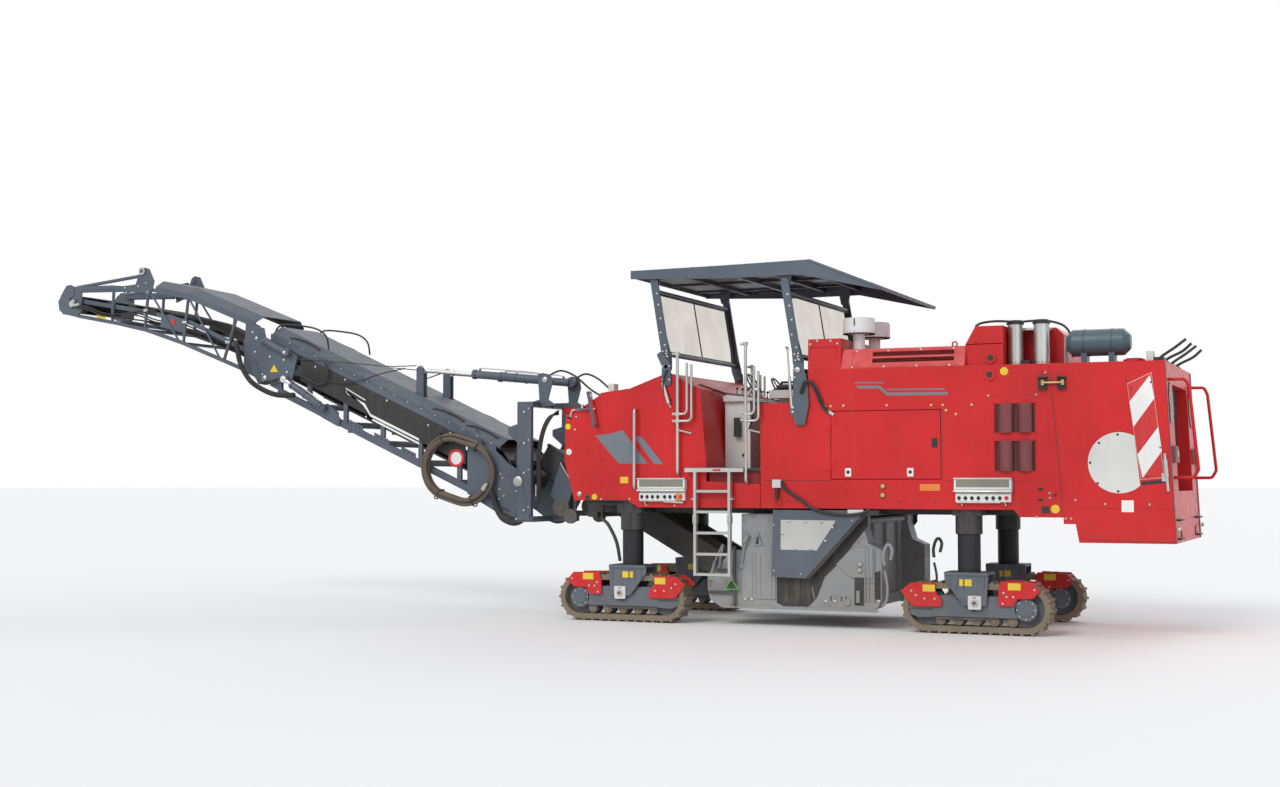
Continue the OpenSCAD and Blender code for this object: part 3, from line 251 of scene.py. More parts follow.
def surface(name, colour, rough=0.45, metal=0.0, dust=0.3, streaks=0.2, speckle=0.0, grain=0.02,
            grain_scale=220, dust_colour=DUST, low_dust=1.0, spots=0.0, spot_colour=(0.16, 0.07, 0.03),
            coat=0.0, round_edges=0.0, gloss=0.5):
    """A worn surface: fading colour, run-off streaks, dust on its upper and low parts, fine grain."""
    material = bpy.data.materials.new(name)
    material.use_nodes = True
    nodes, links = material.node_tree.nodes, material.node_tree.links
    shader = nodes["Principled BSDF"]
    coords = nodes.new("ShaderNodeTexCoord").outputs["Object"]
    geometry = nodes.new("ShaderNodeNewGeometry")
    split = nodes.new("ShaderNodeSeparateXYZ")
    links.new(coords, split.inputs[0])
    normal = nodes.new("ShaderNodeSeparateXYZ")
    links.new(geometry.outputs["Normal"], normal.inputs[0])

    fade = ramp(nodes, links, noise(nodes, links, coords, 0.9, 3), 0.35, 0.7)
    tone = tuple(min(1.0, c * 1.10 + 0.002) for c in colour)
    deep = tuple(c * 0.84 for c in colour)
    base = socket_mix(nodes, links, fade, deep, tone)
    if spots:
        mask = ramp(nodes, links, noise(nodes, links, coords, 7, 8, rough=0.7), 0.62 - 0.12 * spots, 0.70)
        base = socket_mix(nodes, links, mask, base, spot_colour)
    if streaks:
        runs = ramp(nodes, links, noise(nodes, links, coords, 1, 5, (16, 16, 1.1)), 0.52, 0.78, 0, streaks)
        washed = tuple(0.5 * c + 0.5 * d for c, d in zip(colour, dust_colour))
        base = socket_mix(nodes, links, runs, base, washed)
    if speckle:
        dots = ramp(nodes, links, noise(nodes, links, coords, 55, 6, rough=0.7), 0.60, 0.72, 0, speckle)
        base = socket_mix(nodes, links, dots, base, dust_colour)
    up = ramp(nodes, links, normal.outputs["Z"], 0.35, 0.95, 0, 0.75)
    low = ramp(nodes, links, split.outputs["Z"], 1.5, 0.1, 0, 0.62 * low_dust)
    cloud = ramp(nodes, links, noise(nodes, links, coords, 4.5, 8, rough=0.65), 0.32, 0.68)
    settled = combine(nodes, links, "MULTIPLY", combine(nodes, links, "MAXIMUM", up, low), cloud)
    settled = combine(nodes, links, "MULTIPLY", settled, dust)
    base = socket_mix(nodes, links, settled, base, dust_colour)
    links.new(base, shader.inputs["Base Color"])

    sheen = ramp(nodes, links, noise(nodes, links, coords, 9, 6), 0.3, 0.7, max(0.05, rough - 0.06),
                 rough + 0.10)
    matted = combine(nodes, links, "ADD", sheen, combine(nodes, links, "MULTIPLY", settled, 0.45))
    links.new(combine(nodes, links, "MINIMUM", matted, 1.0), shader.inputs["Roughness"])
    shader.inputs["Metallic"].default_value = metal
    shader.inputs["Specular IOR Level"].default_value = gloss
    if coat:
        shader.inputs["Coat Weight"].default_value = coat
        shader.inputs["Coat Roughness"].default_value = 0.12
    if grain:
        bump = nodes.new("ShaderNodeBump")
        bump.inputs["Strength"].default_value = grain * 10
        bump.inputs["Distance"].default_value = 0.002
        links.new(noise(nodes, links, coords, grain_scale, 5), bump.inputs["Height"])
        if round_edges:
            bevel = nodes.new("ShaderNodeBevel")
            bevel.samples = 4
            bevel.inputs["Radius"].default_value = round_edges
            links.new(bevel.outputs[0], bump.inputs["Normal"])
        links.new(bump.outputs[0], shader.inputs["Normal"])
    return material


def mesh_cloth(name, colour, pitch, gap_colour):
    """Expanded metal or wire mesh: a diamond pattern of strands over dark gaps."""
    material = surface(name, colour, 0.5, 0.3, 0.25)
    nodes, links = material.node_tree.nodes, material.node_tree.links
    shader = nodes["Principled BSDF"]
    coords = [n for n in nodes if n.bl_idname == "ShaderNodeTexCoord"][0].outputs["Object"]
    split = nodes.new("ShaderNodeSeparateXYZ")
    links.new(coords, split.inputs[0])
    waves = []
    for sign in (1, -1):
        along = combine(nodes, links, "MULTIPLY", split.outputs["X"], 2 * math.pi / pitch)
        upward = combine(nodes, links, "MULTIPLY", split.outputs["Z"], sign * 2 * math.pi / (pitch * 1.6))
        total = combine(nodes, links, "ADD", along, upward)
        waves.append(combine(nodes, links, "ABSOLUTE", combine(nodes, links, "SINE", total, 0), 0))
    strand = combine(nodes, links, "MINIMUM", waves[0], waves[1])
    mask = ramp(nodes, links, strand, 0.32, 0.48)
    old = shader.inputs["Base Color"].links[0].from_socket
    links.new(socket_mix(nodes, links, mask, old, gap_colour), shader.inputs["Base Color"])
    return material


def clear_screen(name, colour):
    """A clear pane with a faint uneven film."""
    material = bpy.data.materials.new(name)
    material.use_nodes = True
    nodes, links = material.node_tree.nodes, material.node_tree.links
    shader = nodes["Principled BSDF"]
    coords = nodes.new("ShaderNodeTexCoord").outputs["Object"]
    film = ramp(nodes, links, noise(nodes, links, coords, 3, 6), 0.3, 0.8)
    links.new(socket_mix(nodes, links, film, colour, tuple(c * 0.8 for c in colour)),
              shader.inputs["Base Color"])
    links.new(ramp(nodes, links, noise(nodes, links, coords, 6, 6), 0.3, 0.8, 0.01, 0.05),
              shader.inputs["Roughness"])
    shader.inputs["Transmission Weight"].default_value = 1.0
    shader.inputs["IOR"].default_value = 1.02
    return material


RED = surface("signal_red", (0.58, 0.012, 0.014), 0.38, dust=0.15, streaks=0.06, grain=0.008, coat=0.10,
              round_edges=0.006, gloss=0.30)
GREY = surface("slate_grey", (0.088, 0.109, 0.140), 0.42, dust=0.32, streaks=0.14, grain=0.012,
               round_edges=0.004, gloss=0.35)
LIGHT_GREY = surface("worn_grey", (0.27, 0.285, 0.30), 0.5, dust=0.7, streaks=0.45, speckle=0.35, spots=0.25,
                     round_edges=0.005)
DARK = surface("black_frame", (0.022, 0.022, 0.025), 0.5, dust=0.55, streaks=0.2, speckle=0.15)
STEEL = surface("bare_steel", (0.52, 0.52, 0.50), 0.32, 0.9, dust=0.2, streaks=0.15, low_dust=0.5)
ROD = surface("polished_rod", (0.72, 0.72, 0.72), 0.14, 1.0, dust=0.1, streaks=0.05)
ZINC = surface("galvanised", (0.50, 0.51, 0.49), 0.45, 0.6, dust=0.45, streaks=0.3, speckle=0.3)
WHITE = surface("off_white", (0.66, 0.66, 0.63), 0.5, dust=0.3, streaks=0.25)
RUBBER = surface("black_rubber", (0.018, 0.018, 0.019), 0.62, dust=0.5, streaks=0.12, speckle=0.12,
                 grain=0.03)
HOSE = surface("brown_hose", (0.105, 0.075, 0.055), 0.6, dust=0.6, streaks=0.25, speckle=0.3, grain=0.03)
TRACK = surface("track_shoes", (0.20, 0.155, 0.105), 0.75, 0.15, dust=0.8, streaks=0.3, speckle=0.6,
                spots=0.5, grain=0.05)
CARRIAGE = surface("carriage_grey", (0.100, 0.120, 0.148), 0.5, dust=0.42, streaks=0.25, speckle=0.25,
                   low_dust=0.8, round_edges=0.004, gloss=0.35)
DRUM = surface("drum_steel", (0.12, 0.11, 0.10), 0.6, 0.5, dust=0.8, streaks=0.2, speckle=0.5, spots=0.6)
TANK = surface("tank_grey", (0.070, 0.112, 0.135), 0.35, dust=0.25, gloss=0.35)
ENGINE = surface("engine_iron", (0.05, 0.05, 0.055), 0.6, 0.3, dust=0.4)
YELLOW = surface("yellow_sign", (0.78, 0.56, 0.02), 0.45, dust=0.3, streaks=0.15, grain=0.0)
SIGN_WHITE = surface("white_sign", (0.80, 0.80, 0.78), 0.4, dust=0.2, streaks=0.15, grain=0.0)
SIGN_RED = surface("red_sign", (0.58, 0.016, 0.018), 0.4, dust=0.15, grain=0.0)
ORANGE = surface("orange_reflector", (0.75, 0.20, 0.02), 0.25, dust=0.15, grain=0.0, coat=0.4)
GREEN = surface("green_sign", (0.10, 0.48, 0.08), 0.4, dust=0.2, grain=0.0)
BARS = surface("bar_grey", (0.16, 0.19, 0.225), 0.42, dust=0.2, grain=0.0)
BLACK = surface("black_trim", (0.012, 0.012, 0.013), 0.45, dust=0.25, grain=0.01)
BRASS = surface("zinc_yellow_bolt", (0.55, 0.40, 0.16), 0.35, 0.8, dust=0.2)
BOLT = surface("bolt_steel", (0.45, 0.45, 0.43), 0.35, 0.8, dust=0.3)
PANEL = surface("control_panel", (0.70, 0.71, 0.70), 0.4, dust=0.25, streaks=0.2)
OLIVE = surface("box_olive", (0.22, 0.22, 0.18), 0.5, 0.3, dust=0.5)
MIRROR = surface("mirror_glass", (0.85, 0.87, 0.88), 0.03, 1.0, dust=0.08, grain=0.0)
VINYL = surface("cushion_vinyl", (0.02, 0.02, 0.022), 0.55, dust=0.35, grain=0.04, grain_scale=90)
GRILLE_RED = mesh_cloth("expanded_red", (0.50, 0.02, 0.025), 0.046, (0.012, 0.010, 0.010))
GRILLE_DARK = mesh_cloth("engine_mesh", (0.12, 0.10, 0.10), 0.020, (0.006, 0.006, 0.006))
SCREEN = clear_screen("tinted_screen", (0.74, 0.71, 0.66))

LEG_FOOT = 0.645


def blacken_above(material, height, colour):
    """Gives a material a second colour above a height, as where black legs stand on grey carriages."""
    nodes, links = material.node_tree.nodes, material.node_tree.links
    coords = [n for n in nodes if n.bl_idname == "ShaderNodeTexCoord"][0].outputs["Object"]
    split = nodes.new("ShaderNodeSeparateXYZ")
    links.new(coords, split.inputs[0])
    base = nodes["Principled BSDF"].inputs["Base Color"]
    mask = ramp(nodes, links, split.outputs["Z"], height, height + 0.004)
    links.new(socket_mix(nodes, links, mask, base.links[0].from_socket, colour), base)


blacken_above(CARRIAGE, LEG_FOOT, (0.020, 0.020, 0.022))

NODE_MATERIALS = {
    RED: ["front_body", "front_cheeks", "engine_body", "engine_hood", "rear_rails", "door_left",
          "door_right"],
    GREY: ["mast", "lift_barrels", "boom_frame", "fold_brackets", "boom_crossbars", "boom_cover", "tip_frame",
           "tip_crossbars", "tip_cover", "fold_barrels", "roof", "front_arms", "rear_arms", "mirrors",
           "canopy_mounts"],
    LIGHT_GREY: ["drum_housing", "scraper_gate"],
    DARK: ["frame", "platform", "primary_conveyor"],
    STEEL: ["handrails", "exhaust_stacks"],
    ROD: ["lift_rods", "fold_rods"],
    ZINC: ["ladders"],
    WHITE: ["side_plates", "operator_station", "lamps"],
    PANEL: ["air_cleaners", "control_boxes"],
    RUBBER: ["primary_belt", "boom_belt", "boom_sheets", "tip_belt"],
    HOSE: ["hose_coil"],
    DRUM: ["drum"],
    TANK: ["air_tank"],
    ENGINE: ["engine_block"],
    GRILLE_DARK: ["grilles"],
    SCREEN: ["front_screen", "rear_screen"],
}
for corner in ("fl", "fr", "rl", "rr"):
    NODE_MATERIALS.setdefault(CARRIAGE, []).append("undercarriage_" + corner)
    NODE_MATERIALS[RED].append("guards_" + corner)
    NODE_MATERIALS.setdefault(TRACK, []).append("track_" + corner)


def dress_nodes():
    """Gives every imported node its material."""
    for material, names in NODE_MATERIALS.items():
        for name in names:
            node = frame["nodes"][name]
            for piece in [node] + list(node.children_recursive):
                if piece.type == "MESH":
                    piece.data.materials.clear()
                    piece.data.materials.append(material)


# Mesh tools


def circle(place, turn, radius, sides, rise=0):
    """Points of a circle over a place, in the plane that a rotation gives."""
    return [Vector(place) + turn @ Vector((radius * math.cos(angle), radius * math.sin(angle), rise))
            for angle in around(sides)]


def bands(rings, sides, closed=False):
    """Faces that join rings of points, each ring to the next one, and if closed the last to the first."""
    faces = []
    for ring in range(rings if closed else rings - 1):
        for k in range(sides):
            a, b = ring * sides + k, ring * sides + (k + 1) % sides
            faces.append((a, b, (b + sides) % (rings * sides), (a + sides) % (rings * sides)))
    return faces


def end_faces(rings, sides):
    """Faces that close the first and the last ring."""
    return [tuple(range(sides - 1, -1, -1)), tuple(range((rings - 1) * sides, rings * sides))]


BOX_FACES = [(0, 1, 3, 2), (4, 6, 7, 5), (0, 4, 5, 1), (2, 3, 7, 6), (0, 2, 6, 4), (1, 5, 7, 3)]
SLAB_FACES = [(0, 1, 2, 3), (7, 6, 5, 4), (0, 4, 5, 1), (1, 5, 6, 2), (2, 6, 7, 3), (3, 7, 4, 0)]
SHARP_ANGLE = math.radians(40)
RIB_SIDES = 14
RIB_STEPS = 8
RIB_HALF = 7
RIB_RISE = 5


class Form:
    """Collects simple solids, in millimetres of the machine's layout, and makes one piece of them."""

    def __init__(self):
        self.mesh = bmesh.new()

    def add(self, points, faces):
        made = [self.mesh.verts.new(at(*p)) for p in points]
        for face in faces:
            try:
                self.mesh.faces.new([made[i] for i in face])
            except ValueError:
                pass

    def box(self, a, b):
        (x0, x1), (y0, y1), (z0, z1) = [sorted(pair) for pair in zip(a, b)]
        self.add([(x, y, z) for x in (x0, x1) for y in (y0, y1) for z in (z0, z1)], BOX_FACES)

    def slab(self, points):
        """A solid from the four corners of one face and then the four corners opposite them."""
        self.add(points, SLAB_FACES)

    def prism(self, outline, depth):
        """Extrudes an outline of [x, z] points between two places across the machine."""
        n = len(outline)
        faces = [tuple(range(n)), tuple(range(2 * n - 1, n - 1, -1))]
        faces += [(i, i + n, (i + 1) % n + n, (i + 1) % n) for i in range(n)]
        self.add([(x, y, z) for y in depth for x, z in outline], faces)

    def rod(self, a, b, radius, sides=16):
        """A round bar between two places."""
        turn = (Vector(b) - Vector(a)).to_track_quat("Z", "Y")
        points = circle(a, turn, radius, sides) + circle(b, turn, radius, sides)
        self.add(points, end_faces(2, sides) + bands(2, sides))

    def tube(self, points, radius, sides=10, smooth=6):
        """A hose or bent pipe along a smooth line through given points."""
        line = smooth_line([Vector(p) for p in points], smooth)
        flat = []
        side = None
        for i, p in enumerate(line):
            direction = (line[min(i + 1, len(line) - 1)] - line[max(i - 1, 0)]).normalized()
            across = direction.orthogonal() if side is None else side - direction * side.dot(direction)
            side = across.normalized()
            other = direction.cross(side)
            flat += [p + radius * (math.cos(angle) * side + math.sin(angle) * other)
                     for angle in around(sides)]
        self.add(flat, end_faces(len(line), sides) + bands(len(line), sides))

    def ribbed_hose(self, path, radius):
        """A corrugated hose: a tube with a raised rib at every step of its line."""
        self.tube(path, radius, RIB_SIDES)
        line = smooth_line([Vector(p) for p in path], RIB_STEPS)
        for before, middle, after in zip(line, line[1:], line[2:]):
            half = (after - before).normalized() * RIB_HALF
            self.rod(middle - half, middle + half, radius + RIB_RISE, RIB_SIDES)

    def dome(self, place, normal, radius, height, sides=12):
        """A bolt head or button: a short cylinder with a rounded top, standing on a surface."""
        up = Vector(normal).normalized()
        turn = up.to_track_quat("Z", "Y")
        points = []
        for r, h in ((radius, 0), (radius, height * 0.6), (radius * 0.72, height * 0.92)):
            points += circle(place, turn, r, sides, h)
        points.append(Vector(place) + up * height)
        faces = bands(3, sides)
        faces += [(2 * sides + i, 2 * sides + (i + 1) % sides, len(points) - 1) for i in range(sides)]
        faces.append(tuple(range(sides - 1, -1, -1)))
        self.add(points, faces)

    def bolts(self, places, normal, radius=9, height=7, sides=6):
        for p in places:
            self.rod(p, Vector(p) + Vector(normal) * height, radius, sides)

    def ring(self, centre, normal, outer, inner, thick, sides=40):
        """A flat ring plate standing on a surface."""
        turn = Vector(normal).to_track_quat("Z", "Y")
        points = []
        for r, h in ((outer, 0), (outer, thick), (inner, thick), (inner, 0)):
            points += circle(centre, turn, r, sides, h)
        self.add(points, bands(4, sides, closed=True))

    def done(self, name, material, body="chassis", bevel=0.0, smooth=False):
        """Makes the piece, puts it on its body, and gives its material a slot."""
        mesh = bpy.data.meshes.new(name)
        bmesh.ops.recalc_face_normals(self.mesh, faces=self.mesh.faces[:])
        self.mesh.to_mesh(mesh)
        self.mesh.free()
        mesh.materials.append(material)
        piece = bpy.data.objects.new(name, mesh)
        bpy.context.collection.objects.link(piece)
        if bevel:
            modifier = piece.modifiers.new("edges", "BEVEL")
            modifier.width = bevel * MM
            modifier.segments = 2
            modifier.limit_method = "ANGLE"
            modifier.angle_limit = SHARP_ANGLE
        if smooth:
            for polygon in mesh.polygons:
                polygon.use_smooth = True
            mesh.set_sharp_from_angle(angle=SHARP_ANGLE)
        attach(piece, body)
        return piece


def forms(count):
    """Empty forms, one for each material of a group of details."""
    return [Form() for _ in range(count)]


def on_oval(half, radius, distance):
    """Place and outward direction on an oval of two straights and two arcs, along it from its upper left."""
    straight = 2 * half
    arc = math.pi * radius
    if distance < straight:
        return (distance - half, radius), (0, 1)
    distance -= straight
    if distance < arc:
        angle = math.pi / 2 - distance / radius
        centre = half
    elif distance < arc + straight:
        return (half - (distance - arc), -radius), (0, -1)
    else:
        angle = -math.pi / 2 - (distance - arc - straight) / radius
        centre = -half
    outward = (math.cos(angle), math.sin(angle))
    return (centre + radius * outward[0], radius * outward[1]), outward


def smooth_line(points, steps):
    """Catmull-Rom line through the points."""
    if steps < 2 or len(points) < 3:
        return points
    line = []
    for i in range(len(points) - 1):
        before = points[max(i - 1, 0)]
        a, b = points[i], points[i + 1]
        after = points[min(i + 2, len(points) - 1)]
        for k in range(steps):
            t = k / steps
            line.append(0.5 * ((2 * a) + (b - before) * t + (2 * before - 5 * a + 4 * b - after) * t * t
                               + (3 * a - before - 3 * b + after) * t * t * t))
    line.append(points[-1])
    return line


def rect(x0, z0, x1, z1):
    """Outline of an upright rectangle."""
    return [(x0, z0), (x1, z0), (x1, z1), (x0, z1)]


def boxes(form, spans, inner, outer):
    """Boxes over [x0, z0, x1, z1] spans, between two places across the machine."""
    for x0, z0, x1, z1 in spans:
        form.box((x0, inner, z0), (x1, outer, z1))


def disc(form, x, z, radius, side, thick=2.0, sides=28, y=BODY_W):
    """A round plate on a side panel."""
    form.rod((x, side * (y - 1), z), (x, side * (y + thick), z), radius, sides)


def patch(form, outline, side, thick=2.0, y=BODY_W):
    """A flat plate with an [x, z] outline on a side panel."""
    form.prism(outline, (side * (y - 1), side * (y + thick)))


def seam(form, a, b, side, width=5, y=BODY_W):
    """A narrow dark joint line between two [x, z] points of a side panel."""
    start, end = Vector(a), Vector(b)
    across = (end - start).normalized().orthogonal() * width / 2
    corners = [start + across, end + across, end - across, start - across]
    form.prism([tuple(c) for c in corners], (side * (y - 1), side * (y + 0.8)))


def side_bolts(form, places, side, radius=11, height=8, y=BODY_W):
    """A row of bolt heads on a side panel."""
    for x, z in places:
        form.dome((x, side * y, z), (0, side, 0), radius, height)


# Front body

def front_panel_marks():
    """Stripes, blank labels, bolts and folded edges of the front body."""
    bars, yellow, white, black, bolts, holes = forms(6)
    for side in SIDES:
        patch(bars, [(-313, 2127), (-18, 1805), (343, 1803), (35, 2187), (-120, 2150)], side, 1.2)
        patch(bars, [(168, 2121), (430, 1796), (538, 1796), (273, 2107)], side, 1.2)
        disc(yellow, -666, 2237, 34, side)
        disc(yellow, -324, 1423, 34, side)
        patch(yellow, rect(3, 1580, 103, 1652), side)
        disc(white, -653, 1943, 36, side)
        patch(black, rect(-444, 1378, -384, 1440), side, 3)
        side_bolts(bolts, [(-515, 1454)], side, 30, 16)
        side_bolts(bolts, [(-560, 2350), (-575, 2200), (-240, 1395), (120, 1400), (330, 1330),
                           (680, 1330)], side, 12)
        for x, z in [(-244, 1818), (-196, 1847), (-514, 1722), (-483, 1709), (-583, 1682), (-196, 1721),
                     (-285, 1641), (-483, 1615), (-289, 1547), (-151, 1504)]:
            disc(holes, x, z, 8, side, 0.8, 12)
        # Folded lip under the panel
        patch(holes, rect(-250, 1386, 88, 1378), side, 0.8)
    bars.done("front_bars", BARS)
    yellow.done("front_round_labels", YELLOW)
    white.done("front_white_label", SIGN_WHITE)
    black.done("front_black_sockets", BLACK, bevel=2)
    bolts.done("front_bolts", BOLT, smooth=True)
    holes.done("front_holes", BLACK)

    lips, tops = forms(2)
    edge = [(-250, 2612), (123, 2655), (604, 2828), (770, 2752)]
    for side in SIDES:
        wall = from_face(side)
        for a, b in zip(edge, edge[1:]):
            lips.prism([a, b, (b[0], b[1] + 9), (a[0], a[1] + 9)], (wall(), wall(-40)))
        for x in range(-180, 560, 120):
            z = 2614 + (x + 250) * 0.115 if x < 123 else 2655 + (x - 123) * 0.36
            tops.dome((x, wall(-20), z + 8), (0, 0, 1), 9, 7)
        # Small brackets on the cheek's upper edge
        lips.prism([(-655, 2385), (-600, 2395), (-560, 2440), (-585, 2450)], (wall(-28), wall(-4)))
    lips.done("front_top_lips", RED, bevel=2)
    tops.done("front_top_bolts", BOLT, smooth=True)

    # Dusty dark strips and pipes under the front body
    under = Form()
    for side in SIDES:
        under.box((-430, side * 700, 1330), (210, side * 1090, 1378))
        under.rod((-450, side * 1075, 1350), (-20, side * 1075, 1350), 22, 16)
        under.tube([(-330, side * 880, 1320), (-350, side * 880, 1180), (-260, side * 900, 1090),
                    (-150, side * 920, 900), (-100, side * 930, 680)], 20)
    under.done("front_underside_pipes", DARK, bevel=3)


def control_panels():
    """Lids, knobs and lamps of the outer control boxes."""
    lids, inner, panels, knobs, reds, amber, rods = forms(7)
    for side in SIDES:
        wall = from_face(side)
        for x0, x1 in ((250, 830), (3890, 4490)):
            y = wall(70)
            middle = (x0 + x1) / 2
            # The lid stands open above the box and shows its inside
            lids.prism(rect(x0 - 6, 1625, x1 + 6, 1637), (wall(), y + side * 14))
            lids.prism(rect(x0, 1500, x1, 1530), (y, y + side * 8))
            lids.rod((x0 - 8, y + side * 6, 1497), (x1 + 8, y + side * 6, 1497), 9, 12)
            inner.prism(rect(x0 + 22, 1540, x1 - 22, 1618), (y, y + side * 2))
            inner.prism(rect(middle - 4, 1540, middle + 4, 1618), (y, y + side * 5))
            for a, b in ((x0 + 14, middle - 12), (middle + 6, x1 - 20)):
                panels.prism(rect(a, 1392, b, 1464), (wall(45), wall(50)))
                for k in range(4):
                    x = a + (b - a) * (k + 0.5) / 4
                    if b == x1 - 20 and k == 3:
                        reds.rod((x, wall(48), 1428), (x, wall(66), 1428), 21, 20)
                        continue
                    knobs.rod((x, wall(49), 1426), (x, wall(60), 1426), 19, 18)
                    knobs.box((x - 5, wall(60), 1404), (x + 5, wall(72), 1448))
            for x in (x0 + 60, x1 - 80):
                rods.rod((x, wall(20), 1384), (x + 18, wall(26), 1345), 9, 10)
            rods.rod((x0 + 20, wall(40), 1379), (x1 - 120, wall(40), 1379), 7, 10)
        amber.box((720, wall(10), 1390), (792, wall(62), 1462))
        rods.rod((560, wall(30), 1370), (800, wall(30), 1362), 13, 12)
    lids.done("control_box_lids", STEEL, bevel=2)
    inner.done("control_box_insides", OLIVE)
    panels.done("control_plates", SIGN_WHITE, bevel=1.5)
    knobs.done("control_knobs", BLACK, bevel=1)
    reds.done("stop_buttons", SIGN_RED, bevel=2)
    amber.done("amber_lamps", ORANGE, bevel=6)
    rods.done("control_box_rods", BOLT, smooth=True)


# Engine housing

ENGINE_BOLTS = [(2458, 2417), (2524, 2416), (2669, 2419), (3151, 2413), (3636, 2408), (3763, 2406),
                (3796, 2350), (3902, 2308), (4070, 2404)]
PANEL_JOINTS = [((1760, 1609), (2520, 1609), 6), ((3758, 1609), (4880, 1600), 3),
                ((3759, 2365), (3757, 1609), 4), ((2280, 2375), (2520, 2375), 3),
                ((4879, 2819), (4998, 1398), 7), ((4998, 1398), (5003, 1235), 4),
                ((4248, 2490), (4745, 2490), 3), ((5258, 1003), (6104, 990), 6),
                ((5160, 1330), (6110, 1322), 3)]
HOOD_BOLTS = [(2368, 3137), (2521, 3132), (2599, 3098), (2290, 3100)]
LOUVRE_BOLTS = [(2808, 3010), (3160, 3010), (3517, 3010), (3872, 3010), (2764, 2835), (3120, 2835),
                (3480, 2834), (3835, 2830)]


def hood_y(z):
    """Distance of the sloping hood side from the middle plane at a height."""
    return BODY_W - 60 * (z - 2820) / 215


def engine_sides():
    """Bolts, joints, stripes, blank labels and fittings on the engine housing's sides."""
    brass, silver, lines, bars, squares, amber = forms(6)
    gold, black, yellow, reds, pads = forms(5)
    for side in SIDES:
        wall = from_face(side)
        side_bolts(brass, ENGINE_BOLTS, side, 15, 11)
        side_bolts(silver, [(4248, 2497), (4745, 2497), (4840, 2723), (5426, 1371), (5862, 1369),
                            (5030, 1220), (5085, 1220), (4735, 1235), (4870, 1480), (4873, 1430),
                            (5130, 1410)], side, 13, 12)
        for x, z in HOOD_BOLTS:
            silver.dome((x, side * (BODY_W - 20 * (z - 2820) / 337 - 1), z), (0, side, 0), 13, 9)
        for x, z in LOUVRE_BOLTS:
            silver.dome((x, side * (hood_y(z) - 1), z), (0, side, 0.28), 13, 9)
        for start, end, width in PANEL_JOINTS:
            seam(lines, start, end, side, width)
        for x, z in ((2030, 1398), (2141, 1398), (3277, 1391), (3676, 1384)):
            patch(lines, [(x - 28, z), (x + 28, z), (x, z - 18)], side, 0.8)
        patch(bars, [(2795, 2674), (3120, 2668), (3120, 2654), (2800, 2660)], side, 1.2)
        patch(bars, [(2812, 2636), (3080, 2630), (3165, 2552), (3815, 2545), (3815, 2515), (3155, 2520),
                     (3070, 2598), (2838, 2604)], side, 1.2)
        patch(bars, [(3150, 2592), (3790, 2584), (3790, 2570), (3150, 2578)], side, 1.2)
        for x in (2716, 3404):
            patch(squares, rect(x - 34, 1653, x + 34, 1743), side, 1.5)
            disc(black, x, 1700, 20, side, 2.0)
        patch(squares, rect(5588, 1291, 5707, 1409), side, 1.5)
        patch(amber, rect(3506, 1501, 3725, 1571), side, 3)
        for x, z in ((3103, 1548), (3102, 1452)):
            disc(black, x, z, 34, side, 1.0)
            gold.dome((x, wall(), z), (0, side, 0), 27, 24, 20)
        disc(yellow, 4925, 1317, 44, side, 2.5)
        disc(yellow, 4415, 2750, 42, side, 2.5)
        patch(black, rect(4785, 1272, 4865, 1345), side, 3)
        for z in (1410, 1520):
            patch(black, rect(4755, z - 14, 4800, z + 14), side, 3)
        disc(black, 4925, 1460, 16, side, 6)
        disc(reds, 5060, 1400, 26, side, 5)
        # Hexagonal bosses round the lifting sockets
        for z in (2898, 2717):
            hexagon = [(4262 + 68 * math.cos(math.radians(a)), z + 72 * math.sin(math.radians(a)))
                       for a in range(30, 390, 60)]
            y = BODY_W - 52 if z > 2800 else BODY_W
            reds.prism(hexagon, (side * (y - 2), side * (y + 16)))
            black.rod((4262, side * y, z), (4262, side * (y + 17.5), z), 34, 24)
        # Latch that holds the two housing halves
        for x0, x1 in ((4767, 4862), (4962, 5052)):
            pads.box((x0, wall(), 2553), (x1, wall(12), 2682))
            pads.box((x0, wall(), 2553), (x1, wall(48), 2570))
            pads.box((x0, wall(), 2665), (x1, wall(48), 2682))
        brass.rod((4800, wall(30), 2618), (5030, wall(30), 2618), 12, 14)
        for x in (4815, 5020):
            brass.rod((x, wall(30), 2590), (x, wall(30), 2646), 19, 14)
    brass.done("engine_zinc_bolts", BRASS, smooth=True)
    silver.done("engine_steel_bolts", BOLT, smooth=True)
    lines.done("engine_panel_joints", BLACK)
    bars.done("engine_stripes", BARS)
    squares.done("engine_blank_squares", SIGN_WHITE)
    amber.done("side_reflectors", ORANGE, bevel=2)
    gold.done("fuel_caps", BRASS, smooth=True)
    black.done("engine_black_marks", BLACK, bevel=1)
    yellow.done("engine_round_labels", YELLOW)
    reds.done("engine_bosses", RED, bevel=4)
    pads.done("housing_latch_pads", BLACK, bevel=3)


def door_details():
    """Lock and pressed frame of each engine door, on the door itself."""
    for side, body in ((LEFT, "left_door"), (RIGHT, "right_door")):
        form = Form()
        form.box((3640, side * (BODY_W - 1), 1960), (3700, side * (BODY_W + 5), 2060))
        form.rod((3670, side * (BODY_W + 5), 2010), (3670, side * (BODY_W + 14), 2010), 17, 20)
        form.done(body + "_lock", BLACK, body, bevel=2)
        ribs = Form()
        # Pressed frame inside the door
        spans = ((2560, 1660, 3700, 1690), (2560, 2290, 3700, 2320), (2560, 1690, 2590, 2290),
                 (3670, 1690, 3700, 2290))
        boxes(ribs, spans, side * (BODY_W - 20), side * (BODY_W - 12))
        ribs.done(body + "_frame", RED, body, bevel=2)


